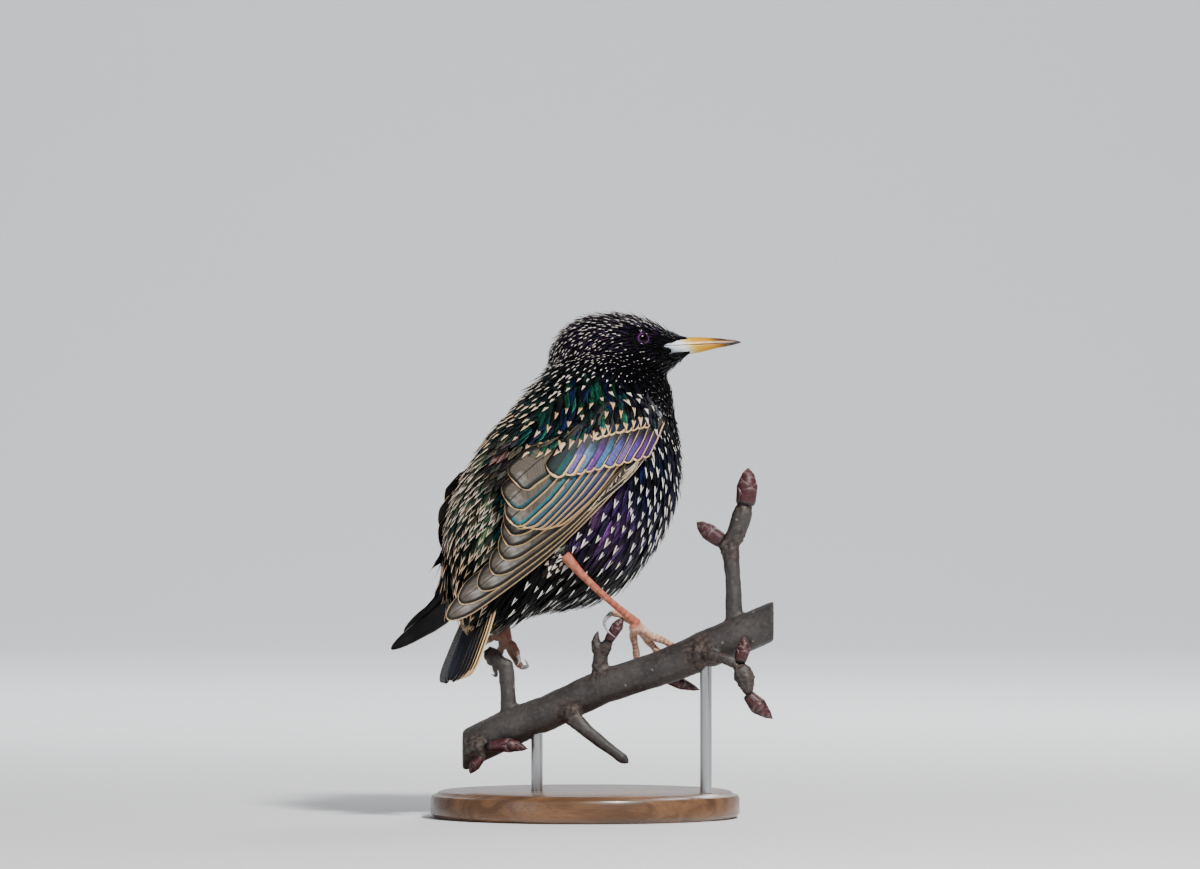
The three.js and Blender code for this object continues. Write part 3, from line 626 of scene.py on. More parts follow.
class Coat:
    # collects vanes of one piece, and makes a mesh of them
    def __init__(self, name):
        self.name, self.points, self.faces, self.count = name, [], [], 0
        self.vane, self.bake, self.gloss, self.marks, self.look = [], [], [], [], []

    def add(self, top, low, gloss, marks, look, home, patch=0.003, v=None, rim=None):
        # top and low are grids of points, home the root's place on the unwrap, rim how far the outline is
        rows, columns = top.shape[0] - 1, top.shape[1] - 1
        faces, count = laminaFaces(rows, columns)
        v = np.linspace(0, 1, rows + 1) if v is None else v
        v, u = np.meshgrid(v, np.linspace(0, 1, columns + 1), indexing="ij")
        vane = np.stack([u, v], -1)
        self.points.append(np.vstack([top.reshape(-1, 3), low[1:-1, 1:-1].reshape(-1, 3)]))
        vane = np.vstack([vane.reshape(-1, 2), vane[1:-1, 1:-1].reshape(-1, 2)])
        self.vane.append(vane)
        self.bake.append((vane - 0.5) * patch + home)
        self.faces.append(faces + self.count)
        self.gloss.append(np.tile(gloss, (count, 1)))
        # the fourth mark is 1 on the underside's points; the materials paint those points near black, a
        # painted shade
        outer = top.shape[0] * top.shape[1]
        under = np.concatenate([np.zeros(outer), np.ones(count - outer)])
        self.marks.append(np.column_stack([np.tile(marks, (count, 1)), under]))
        rim = np.ones(v.shape) if rim is None else rim
        rim = np.concatenate([rim.ravel(), rim[1:-1, 1:-1].ravel()])
        self.look.append(np.column_stack([rim, np.full(count, look[0]), np.full(count, look[1])]))
        self.count += count

    def piece(self, material, slot, replaced=()):
        points, faces = np.vstack(self.points), np.vstack(self.faces)
        mesh = bpy.data.meshes.new(self.name)
        mesh.vertices.add(len(points))
        mesh.loops.add(len(faces) * 4)
        mesh.polygons.add(len(faces))
        mesh.vertices.foreach_set("co", (points * mm).ravel())
        mesh.loops.foreach_set("vertex_index", faces.ravel().astype(np.int32))
        mesh.polygons.foreach_set("loop_start", np.arange(0, len(faces) * 4, 4))
        mesh.update(calc_edges=True)
        uvLayer(mesh, "OFBake", np.vstack(self.bake))
        uvLayer(mesh, "vane", np.vstack(self.vane))
        colourAttribute(mesh, "gloss", np.vstack(self.gloss))
        colourAttribute(mesh, "marks", np.vstack(self.marks))
        colourAttribute(mesh, "look", np.vstack(self.look))
        shape = bmesh.new()
        shape.from_mesh(mesh)
        bmesh.ops.recalc_face_normals(shape, faces=shape.faces)
        shape.to_mesh(mesh)
        shape.free()
        shadeSmooth(mesh)
        print(self.name, len(faces) * 2, "triangles")
        return newObject(self.name, mesh, material, replaced)


quillShaft = {"wide": 0.09, "high": 0.14}


def tipRound(s, start):
    return np.where(s < start, 1.0, np.sqrt(np.maximum(0, 1 - ((s - start) / (1 - start)) ** 2)))


def flightVane(coat, surface, root, middle, tip, wide, lift, home, gloss, marks, look,
               rows=18, columns=10, lean=0.0, tipStart=0.86, camber=0.35, thick=0.3, sunk=2.0):
    # one quill laid on a surface; its lower edge is the outer web
    root, middle, tip = (np.array(p, float) for p in (root, middle, tip))
    control = 2 * middle - (root + tip) / 2
    t = np.linspace(0, 1, rows + 1)
    s = np.sin(t * math.pi / 2)[:, None]
    u = np.linspace(-1, 1, columns + 1)[None, :]
    centre = root * (1 - s[..., None]) ** 2 + control * 2 * (s * (1 - s))[..., None] + tip * (s**2)[..., None]
    ahead = unit(2 * ((control - root) * (1 - s)[..., None] + (tip - control) * s[..., None]))
    half = 0.5 * wide * np.minimum(1, 0.5 + 0.9 * s) * np.maximum(0.02, tipRound(s, tipStart))
    out = (u + 2 * lean) * half
    a = centre[..., 0] - ahead[..., 1] * out
    b = centre[..., 1] + ahead[..., 0] * out
    shaftLine = np.exp(-((u / quillShaft["wide"]) ** 2)) * quillShaft["high"]
    height = lift + camber * (1 - u**2) + shaftLine - sunk * (1 - s) ** 4
    low = height - thick * (1 - 0.7 * u**2) - shaftLine * 0.5
    long = np.linalg.norm(tip - root)
    rim = np.minimum(half * (1 - np.abs(u)), (1 - s) * long)
    coat.add(surface(a, b, height), surface(a, b, low), gloss, marks, look, home, v=s[:, 0], rim=rim)


purple, lilac = [0.24, 0.09, 0.44], [0.36, 0.24, 0.6]
navy, black = [0.012, 0.022, 0.08], [0.006, 0.006, 0.009]

# rows of a wing, from the first feather to the last: root, middle and tip in the plan
step = 0.3
wingRows = [
    {"row": "primaries", "tips": [[104.3, 1.0], [97, 2.6], [88.2, 1.6], [80.6, 3.0], [74.2, 5.0], [69.6, 8.0],
                                  [66, 10.4], [62.5, 10.5]],
     "root": [[6, 0.6], [12, 6.8]], "bend": [-3.4, -1.2], "wide": [9, 13.5], "lift": [1.0, 1.0 + 7 * step],
     "lean": [0.08, 0.22],
     "edge": [0.44, 0.5], "tone": [0.6, 0.7], "panel": [0.6, 0.75], "gloss": [black, navy], "shine": [0, 0.1],
     "sunk": 1.5, "camber": 0.2},
    {"row": "secondaries", "tips": [[53, 3.0], [55.5, 4.2], [57.6, 5.6], [59.4, 7.2], [61.2, 9.2]],
     "root": [[10, 7], [18, 14]], "bend": [-1.6, -0.6], "wide": [9.5, 12],
     "lift": [1.0 + 8 * step, 1.0 + 13 * step], "lean": [0.16, 0.16],
     "edge": [0.62, 0.75], "tone": [0.55, 0.85], "panel": [0, 0.1],
     "gloss": [[0.07, 0.08, 0.3], [0.04, 0.17, 0.26]], "shine": [0.42, 0.5], "sunk": 1.5},
    {"row": "tertials", "tips": [[63.2, 12.6], [59.6, 17.2], [52.6, 20.8]],
     "root": [[24, 15], [27, 18.5]], "bend": [-0.6, 0.8], "wide": [11, 11.5],
     "lift": [1.0 + 14 * step, 1.0 + 17 * step], "lean": [0.06, 0.05],
     "edge": [0.7, 0.55], "tone": [0.85, 0.8], "panel": [0.35, 0.45],
     "gloss": [[0.02, 0.24, 0.3], [0.02, 0.08, 0.1]], "shine": [0.45, 0.2], "sunk": 1.5},
    {"row": "hand coverts", "count": 9, "root": [[-2, 1.8], [2, 4.5]], "middle": [[17, -2.0], [11, 1.6]],
     "tip": [[39, -2.4], [20, -0.2]],
     "wide": [2.2, 2.8], "lift": [2.4, 3.4], "lean": [0.1, 0.1], "edge": [0.3, 0.36], "tone": [0.5, 0.3],
     "panel": [0, 0],
     "gloss": [black, navy], "shine": [0, 0.1], "sunk": 1.2, "tipStart": 0.5},
    {"row": "greater coverts", "count": 10, "root": [[-5, 4.4], [20, 20]], "middle": [[3.6, 2.4], [30, 17.6]],
     "tip": [[12, -0.6], [41, 14.6]],
     "wide": [4.4, 7.4], "lift": [4.2, 7.0], "lean": [0, 0], "edge": [0.6, 0.85], "tone": [0, 0],
     "panel": [0, 0],
     "glosses": [[0.12, 0.05, 0.3], purple, [0.2, 0.12, 0.55], lilac, [0.2, 0.2, 0.6], [0.1, 0.28, 0.55],
                 purple, [0.16, 0.3, 0.5], [0.2, 0.16, 0.45], [0.02, 0.1, 0.1]],
     "shine": [1.0, 1.0], "sunk": 1.2, "tipStart": 0.88},
    {"row": "median coverts", "count": 8, "root": [[-5, 11.5], [8, 21]], "middle": [[0, 9.6], [15, 18.4]],
     "tip": [[4.4, 7.0], [21.4, 14.6]],
     "wide": [4.4, 5.4], "lift": [4.6, 6.5], "lean": [0, 0], "edge": [0.6, 0.75], "tone": [0, 0],
     "panel": [-1, -1],
     "gloss": [[0.01, 0.012, 0.07], [0.004, 0.03, 0.03]], "shine": [0.8, 0.8], "sunk": 2.4, "tipStart": 0.7},
]


def between(pair, part):
    return blend(np.array(pair[0], float), np.array(pair[1], float), part)


def wingPiece(name, surface, replaced, seed, handEdge=1.0, handWidth=1.0, handTip=0.88):
    coat = Coat(name)
    local = np.random.default_rng(seed)
    for row in wingRows:
        count = len(row["tips"]) if "tips" in row else row["count"]
        for i in range(count):
            t = i / (count - 1)
            root = between(row["root"], t)
            wide, lift, lean, edge, panel, shine, tone = (
                float(between(row[k], t)) for k in ("wide", "lift", "lean", "edge", "panel", "shine", "tone"))
            if "tips" in row:
                tip = np.array(row["tips"][i], float)
                middle = (root + tip) / 2 + [0, float(between(row["bend"], t))]
            else:
                tip = between(row["tip"], t) + local.normal(0, 0.12, 2)
                middle = between(row["middle"], t)
            gloss = row["glosses"][i] if "glosses" in row else between(row["gloss"], t)
            home = np.array([0.06 + 0.86 * tip[0] / 110, 0.3 + 0.55 * tip[1] / 32])
            home = home + local.uniform(-0.004, 0.004, 2)
            hand = row["row"] == "primaries"
            marks = [edge * (handEdge if hand else 1), tone, local.random()]
            flightVane(coat, surface, root, middle, tip, wide * (handWidth if hand else 1), lift, home,
                       gloss, marks, [shine, panel], lean=lean, sunk=row["sunk"],
                       camber=row.get("camber", 0.35),
                       tipStart=handTip if hand else row.get("tipStart", 0.88))
    return coat.piece(quillLook, "flight_feathers", replaced)


rightWing = wingPiece("wingRightFeathers", onRightWing, ["wing_right"], 3)
# on the far wing the pale edges of the primaries are cut to 0.3 of their width: a painted shade, since that
# wing lies in shadow
leftWing = wingPiece("wingLeftFeathers", onLeftWing, ["wing_left"], 5, 0.3, 0.82, 0.72)

# tail
rectrices = {"pairs": 6, "wide": 9.6, "step": 1.9, "root": 0.9, "layer": 0.36, "top": 2.0, "nearShort": 4,
             "farShort": 2, "nearEdges": [0.2, 0.2, 0.4, 1.2, 5.0, 8.0], "farEdge": 0.2,
             "lean": 0.1, "gloss": [0.006, 0.014, 0.05], "shine": 0.9}


def tailPiece():
    coat = Coat("tailFeathers")
    local = np.random.default_rng(11)
    for i in range(rectrices["pairs"]):
        for side in (1, -1):
            out = side * (rectrices["root"] + rectrices["step"] * i)
            short = rectrices["nearShort"] if side > 0 else rectrices["farShort"]
            reach = tailPlan["long"] - short * i / rectrices["pairs"] - (1.2 if i == 0 else 0)
            lift = rectrices["top"] - rectrices["layer"] * (i + (0 if side > 0 else 0.5))
            home = [0.5 + 0.03 * out, 0.1 + 0.02 * i]
            lean = side * rectrices["lean"]
            edge = rectrices["nearEdges"][i] if side > 0 else rectrices["farEdge"]
            root, middle, tip = [-8, out * 0.6], [reach * 0.45, out], [reach, out * 1.12]
            flightVane(coat, onTail, root, middle, tip, rectrices["wide"], lift, home, rectrices["gloss"],
                       [edge, 0.0, local.random()], [rectrices["shine"], 0.0],
                       sunk=0, thick=0.26, camber=0.3, tipStart=0.82, lean=lean)
    coat.piece(quillLook, "flight_feathers", ["tail"])


tailPiece()
print("flight feathers made")

# arm and shoulder under the coverts, on both sides
armPad = {"a": 14, "b": 12, "long": 22, "wide": 14, "low": -1.5, "high": 6.2}


def padMesh(surface, name, full=0.0):
    shape, places = unitBall(24, 16)
    places[:, 1] *= 1 + full * np.clip(-places[:, 0], 0, 1) ** 2
    lift = armPad["low"] + places[:, 1] * np.where(places[:, 1] > 0, armPad["high"], 3)
    a, b = armPad["a"] + armPad["long"] * places[:, 0], armPad["b"] + armPad["wide"] * places[:, 2]
    return shaped(shape, surface(a, b, lift), name)


# the face up to the bill: forward, height of the middle, up, down and half width, in the head's own frame
facePad = [[12, 175.5, 10.5, 11.5, 8.6], [17, 175.8, 9.2, 10.6, 8.4], [22, 176.2, 6.7, 8.8, 6.9],
           [26, 176.5, 4.7, 6.6, 5.4], [29, 176.8, 3.9, 4.6, 4.5],
           [31.6, 176.9, 3.4, 3.4, 3.7], [33.6, 176.6, 2.6, 2.9, 2.6]]


def padFace():
    shape, ball = unitBall(32, 40)
    ahead = blend(facePad[0][0], facePad[-1][0], (ball[:, 2] + 1) / 2)
    middle, up, down, wide = (alongKeys(facePad, ahead, i) for i in (1, 2, 3, 4))
    spread = np.hypot(ball[:, 0], ball[:, 1])
    full = smooth(0, 0.45, spread) / np.maximum(spread, 1e-6)
    height = middle + ball[:, 1] * full * np.where(ball[:, 1] > 0, up, down)
    places = np.stack([ahead, ball[:, 0] * full * wide, height], -1)
    return shaped(shape, fromHead(places), "padFace")


# one skin for torso, neck, head, thighs and arms, inside the solids by the coat's depth
skinShape = {"voxel": 0.0011, "rounds": 6, "body": 1.7, "head": 0.7, "headFrom": 150, "headTo": 172}
headPlan = {"billBase": [24, 0, 176.5], "eye": [12.6, 7.5, 179.2]}
billBase = headSpot(*headPlan["billBase"])
eyePlaces = {side: headSpot(headPlan["eye"][0], side * headPlan["eye"][1], headPlan["eye"][2])
             for side in (1, -1)}
pads = [padMesh(onRightWing, "padRight"), padMesh(onLeftWing, "padLeft", 1.0), padFace()]
skinMesh = remeshed("skin", [solids[n] for n in fleshNodes] + pads, skinShape["voxel"], skinShape["rounds"])


def coatDepth(points):
    # how far the feathers stand over the skin
    depth = blend(skinShape["head"], skinShape["body"],
                  smooth(skinShape["headTo"], skinShape["headFrom"], points[:, 2]))
    for place, near, wide in [(billBase, 5, 12), (eyePlaces[1], 3.6, 5), (eyePlaces[-1], 3.6, 5)]:
        depth = depth * smooth(near, wide, np.linalg.norm(points - place, axis=1))
    return depth


setPoints(skinMesh, pointsOf(skinMesh) - normalsOf(skinMesh) * coatDepth(pointsOf(skinMesh))[:, None])


# where the bill is bare, seen from the side: forward and height in the head's own frame
bareBill = np.array([(20.4, 176.5), (23.4, 178.0), (26.6, 179.0), (29.6, 179.7), (30.6, 182), (60, 184),
                     (60, 168), (35, 173), (34.2, 174.4),
                     (30.4, 174.2), (26.4, 173.6), (22.4, 173.0), (24.6, 175.3)])


def insideBill(x, z):
    # true inside the outline of the bare bill
    inside = np.zeros(x.shape, bool)
    for (x0, z0), (x1, z1) in zip(bareBill, np.roll(bareBill, -1, 0)):
        if z0 != z1:
            inside ^= ((z0 > z) != (z1 > z)) & (x < (x1 - x0) * (z - z0) / (z1 - z0) + x0)
    return inside


def bare(points):
    place = toHead(points)
    return insideBill(place[..., 0], place[..., 2])


billSide = [[16, 5.6], [19, 6.7], [22, 6.1], [25, 5.1], [27.7, 4.2], [31, 3.4], [35.2, 2.7], [42.8, 1.8],
            [48.2, 1.0], [51.1, 0.3]]


def tuckSkin(points):
    # the skin goes under the bill where the bill is bare
    place = toHead(points)
    wide = alongKeys(billSide, place[:, 0]) * 0.72
    wide = wide * np.sqrt(np.clip(1 - ((place[:, 2] - 176.6) / 4.6) ** 2, 0.02, 1))
    side = np.where(bare(points), np.sign(place[:, 1]) * np.minimum(np.abs(place[:, 1]), wide), place[:, 1])
    place = np.column_stack([place[:, 0], side, place[:, 2]])
    return fromHead(place)


setPoints(skinMesh, tuckSkin(pointsOf(skinMesh)))
skinPoints, skinNormals = pointsOf(skinMesh), normalsOf(skinMesh)
skinFaces = [tuple(f.vertices) for f in skinMesh.polygons]
skinTree = treeOf(skinMesh)


def onSpineAll(points):
    # share of the way to the tail, the way the coat lies, and the turn round the spine, 0 on the back
    share, ahead, turn = np.zeros(len(points)), np.zeros((len(points), 3)), np.zeros(len(points))
    for start in range(0, len(points), 5000):
        part = points[start : start + 5000]
        away = np.linalg.norm(part[:, None] - spine[None], axis=2)
        weights = np.exp(-(away - away.min(1)[:, None]) / 1.5)
        weights /= weights.sum(1)[:, None]
        centre, way = weights @ spine, unit(weights @ spineAhead)
        left = unit(np.cross(np.tile([0, 0, 1.0], (len(part), 1)), way))
        upper = np.cross(way, left)
        out = part - centre
        share[start : start + 5000] = weights @ np.linspace(0, 1, len(spine))
        ahead[start : start + 5000] = way
        turn[start : start + 5000] = np.arctan2((out * left).sum(1), (out * upper).sum(1))
    return share, ahead, turn


def unwrapAll(share, turn):
    return np.column_stack([0.5 + turn / (2 * math.pi) * 0.94, 0.03 + 0.94 * share])


def skinPiece():
    share, _, turn = onSpineAll(skinPoints)
    uvLayer(skinMesh, "OFBake", unwrapAll(share, turn))
    newObject("birdSkin", skinMesh, skinMaterial(), fleshNodes)


skinPiece()
print("skin made", len(skinFaces))

# where the flight feathers lie over the body
wingTrees = [treeOf(rightWing.data), treeOf(leftWing.data)]

# regions of the coat in mm: length, width, spacing, spacing of the spotted feathers, spot, warmth, edge,
# pointed share, share and colour of the gloss
regions = {
    "face": (3.4, 1.3, 0.85, 50, 0, 0, 0, 0.3, 0, black),
    "crown": (6.6, 1.2, 1.1, 1.3, 1.5, 0.12, 0, 0.6, 1, [0.07, 0.04, 0.1]),
    "cheek": (5.4, 1.2, 1.1, 1.8, 0.95, 0.03, 0, 0.5, 1, [0.02, 0.01, 0.03]),
    "chin": (5.0, 1.4, 1.2, 3.0, 0.5, 0, 0, 0.6, 0, black),
    "throat": (9.0, 1.9, 1.6, 2.0, 1.9, 0, 0, 0.85, 1, [0.006, 0.008, 0.02]),
    "nape": (9.0, 2.1, 1.7, 2.2, 2.3, 0.3, 0, 0.4, 1, [0.006, 0.04, 0.035]),
    "breast": (12, 3.5, 2.5, 3.4, 3.4, 0.02, 0, 0.45, 1, [0.006, 0.01, 0.08]),
    "flank": (14, 4.4, 3.1, 4.6, 3.5, 0.12, 0, 0.45, 1, [0.24, 0.1, 0.38]),
    "belly": (15, 3.8, 2.9, 4.6, 3.6, 0.0, 0.0, 0.7, 1, black),
    "vent": (13, 4.2, 3.1, 50, 0, 0.5, 0.3, 0.6, 1, [0.006, 0.012, 0.02]),
    "mantle": (11, 3.6, 2.5, 3.2, 3.3, 0.75, 0, 0.45, 1, [0.006, 0.08, 0.06]),
    "rump": (12, 3.7, 2.3, 3.2, 1.2, 0.5, 0.42, 0.6, 0.45, [0.15, 0.2, 0.13]),
    "coverts": (13.5, 4.4, 2.9, 50, 0, 0.8, 0.5, 0.8, 1, [0.006, 0.025, 0.018]),
    "down": (10, 4.6, 2.8, 50, 0, 0.4, 0, 0.1, 0, [0.2, 0.17, 0.14]),
    "thigh": (7.0, 2.6, 1.7, 1.9, 2.4, 0.3, 0.0, 0.3, 0.2, [0.12, 0.1, 0.09]),
}
names = list(regions)
table = np.array([[*regions[n][:9], *regions[n][9]] for n in names], float)
thighPlaces = [np.array([-8, -25, 100]), np.array([-30, -1, 78])]
partedPlace = np.array([-26.0, 136.5])


def regionMix(points, share, turn):
    # weights of the regions at places, from the share along the spine and the turn round it
    degrees = np.abs(np.degrees(turn))
    billGap = np.linalg.norm(points - billBase, axis=1)
    eyeGap = np.minimum(*[np.linalg.norm(points - p, axis=1) for p in eyePlaces.values()])
    head, body = smooth(0.3, 0.24, share), smooth(0.335, 0.4, share)
    neck = np.clip(1 - head - body, 0, 1)
    weights = {}
    lores = np.linalg.norm((points - billBase) * [1, 1, 2], axis=1)
    weights["face"] = head * np.maximum(smooth(11, 8, lores), smooth(4.6, 3.9, eyeGap))
    rest = head - weights["face"]
    weights["crown"] = rest * smooth(100, 62, degrees)
    weights["chin"] = rest * smooth(112, 138, degrees) * smooth(25, 15, billGap)
    weights["cheek"] = np.clip(rest - weights["crown"] - weights["chin"], 0, 1)
    weights["nape"] = neck * smooth(112, 90, degrees)
    weights["throat"] = neck - weights["nape"]
    thigh = np.maximum(*[smooth(9, 5, np.linalg.norm(points - p, axis=1)) for p in thighPlaces])
    weights["thigh"] = body * thigh
    rest = body - weights["thigh"]
    narrow = 30 * smooth(0.56, 0.66, share)
    back = rest * smooth(100, 78, degrees + narrow)
    front = rest - back
    weights["coverts"] = back * smooth(0.7, 0.78, share)
    gap = np.linalg.norm((points[:, [0, 2]] - partedPlace) * [1.25, 0.8], axis=1)
    parted = smooth(11, 6, gap) * (turn > 0)
    weights["down"] = (back - weights["coverts"]) * parted
    weights["rump"] = (back - weights["coverts"] - weights["down"]) * smooth(0.51, 0.57, share)
    weights["mantle"] = back - weights["rump"] - weights["coverts"] - weights["down"]
    weights["vent"] = front * smooth(0.76, 0.84, share)
    front = front - weights["vent"]
    weights["belly"] = front * smooth(0.55, 0.63, share + 0.0012 * (degrees - 120))
    front = front - weights["belly"]
    behind = smooth(0.49, 0.57, share + 0.0012 * (120 - degrees))
    weights["flank"] = front * behind * smooth(150, 132, degrees)
    weights["breast"] = front - weights["flank"]
    values = np.stack([weights[n] for n in names], -1)
    return values / np.maximum(values.sum(1), 1e-6)[:, None]


coatRules = {
    "tries": 70000, "headFrom": 158, "headTries": 6.0,  # more tries where the feathers are small
    "stray": 0.05, "rise": 0.5, "riseLong": 0.125, "base": -0.25, "spotted": 0.12, "spottedHead": 0.22,
    "under": 6.0,
    "looseShare": 0.3, "looseStray": 0.12,  # feathers that stand off the neck
    "teal": [0.01, 0.13, 0.12], "tealShare": 0.28, "leastEdge": 0.1, "smallest": 7,
}


def scatter(count):
    # roots of feathers, the spotted ones first and then the plain ones between them
    quads = np.array([f if len(f) == 4 else (*f, f[-1]) for f in skinFaces])
    middle = skinPoints[quads].mean(1)
    first, second = (skinPoints[quads[:, k + 2]] - skinPoints[quads[:, k]] for k in (0, 1))
    area = np.linalg.norm(np.cross(first, second), axis=1) / 2
    chance = area * np.where(middle[:, 2] > coatRules["headFrom"], coatRules["headTries"], 1.0)
    tries = rng.choice(len(quads), count, p=chance / chance.sum())
    w = rng.dirichlet((1, 1, 1, 1), count)
    points = (skinPoints[quads[tries]] * w[..., None]).sum(1)
    normals = unit((skinNormals[quads[tries]] * w[..., None]).sum(1))
    share, ahead, turn = onSpineAll(points)
    mix = regionMix(points, share, turn)
    values = mix @ table
    open_ = ~bare(points) & (share > 0.012)
    finder = finderOf(points)
    state = np.where(open_, 0, 2)
    noSpot = rng.random(count) < smooth(1.7, 4, values[:, 3] / values[:, 2])
    found = []
    for spotted in (True, False):
        for i in range(count):
            if state[i] == 2 or (spotted and (noSpot[i] or state[i])):
                continue
            reach = values[i, 3] if spotted else values[i, 2]
            for _, j, gap in finder.find_range(points[i], reach):
                state[j] = 2 if gap < values[i, 2] * (0.8 if spotted else 1) else max(state[j], 1)
            found.append({"point": points[i], "normal": normals[i], "share": share[i], "flow": ahead[i],
                          "turn": turn[i],
                          "mix": mix[i], "values": values[i], "spotted": spotted})
    return found


feathers = scatter(coatRules["tries"])
print("feather places", len(feathers))


def nearSkin(place):
    hit, _, face, _ = skinTree.find_nearest(place)
    return np.array(hit), unit(skinNormals[list(skinFaces[face])].mean(0), 1e-9)


def featherShape(v, pointed):
    blunt = np.where(v > 0.5, 1 - ((v - 0.5) / 0.5) ** 2, 1)
    sharp = 1 - smooth(0.25, 1.0, v)
    return np.maximum(0.04, np.minimum(1, 0.5 + 1.3 * v) * blend(blunt, sharp, pointed))


rowsLarge = np.array([0, 0.3, 0.55, 0.72, 0.86, 0.95, 1])
rowsSmall = np.array([0, 0.45, 0.78, 1])


def rimOf(v, u, half, long):
    # distance to the outline, in mm
    return np.minimum(half[:, None] * (1 - np.abs(u[None])), (1 - v[:, None]) * long)


def layFeather(coat, item, v, columns):
    # one small feather that follows the skin and rises to its tip
    values = item["values"]
    long, wide = values[0] * rng.uniform(0.9, 1.12), values[1] * rng.uniform(0.92, 1.1)
    normal = item["normal"]
    ahead = unit(item["flow"] - normal * (item["flow"] @ normal), 1e-9)
    ahead = ahead + np.cross(normal, ahead) * rng.normal(0, item["stray"])
    u = np.linspace(-1, 1, columns + 1)
    half = 0.5 * wide * featherShape(v, item["pointed"])
    top = np.zeros((len(v), columns + 1, 3))
    low = np.zeros_like(top)
    jitter = 1 + 0.04 * rng.standard_normal((len(v), columns + 1))
    for i, vi in enumerate(v):
        centre, out = nearSkin(Vector(item["point"] + ahead * (long * vi)))
        across = unit(np.cross(out, ahead), 1e-9)
        height = item["base"] + item["rise"] * vi**1.4 - u**2 * 0.075 * wide * (1 - 0.5 * vi)
        base = centre[None] + across[None] * (half[i] * u * jitter[i])[:, None]
        top[i] = base + out * height[:, None]
        low[i] = base + out * (height - (0.16 + 0.1 * (1 - vi)) * (1 - 0.7 * u**2))[:, None]
    item["top"] = top
    coat.add(top, low, item["gloss"], item["marks"], item["look"], item["home"], v=v,
             rim=rimOf(v, u, half, long))


# shoulder feathers over the roots of the wing's coverts, in the wing's plan, in mm
shoulder = {
    "long": 12.5, "wide": 4.4, "spacing": 2.1, "spotSpacing": 4.1, "rise": 1.0, "base": -0.35, "spot": 3.3,
    "border": 2.7, "lift": [24, -6],
    "field": [[-22, -6], [60, 48]], "area": [[-7, -5], [46, 38]], "tries": 9000,
    "tips": [[-7, 0, 2.6, 3.4, 18.7, 28, 37, 43, 46], [3.6, -4.4, -5, 6.9, 13.4, 16, 19, 23, 25]],
    "top": [[-7, 2.2, 17.3, 30.8, 46], [12, 22, 31, 33, 30]],
    "glosses": [[0.012, 0.2, 0.13], [0.015, 0.26, 0.24], [0.02, 0.2, 0.1], [0.01, 0.03, 0.14],
                [0.002, 0.006, 0.01], [0.002, 0.004, 0.008]],
}


def coverField(surface, trees):
    # height of the skin and the wing's feathers over the wing's plan, softened
    (startA, startB), (endA, endB) = shoulder["field"]
    a, b = np.meshgrid(np.arange(startA, endA, 1.0), np.arange(startB, endB, 1.0), indexing="ij")
    high, deep = shoulder["lift"]
    start, end = surface(a, b, np.full(a.shape, float(high))), surface(a, b, np.full(a.shape, float(deep)))
    field = np.full(a.shape, float(deep))
    for i in range(a.shape[0]):
        for j in range(a.shape[1]):
            way = end[i, j] - start[i, j]
            long = np.linalg.norm(way)
            for tree in trees:
                hit = tree.ray_cast(Vector(start[i, j]), Vector(way / long), long)
                if hit[0] is not None:
                    field[i, j] = max(field[i, j], high - (high - deep) * hit[3] / long)
    padded = np.pad(field, 1, mode="edge")
    field = np.max([padded[i : i + a.shape[0], j : j + a.shape[1]] for i in range(3) for j in range(3)],
                   axis=0)
    for _ in range(7):
        padded = np.pad(field, 1, mode="edge")
        field = (padded[1:-1, 1:-1] * 2 + padded[2:, 1:-1] + padded[:-2, 1:-1] + padded[1:-1, 2:]
                 + padded[1:-1, :-2]) / 6
    return lambda a, b: overGrid(field, shoulder["field"][0], a, b)


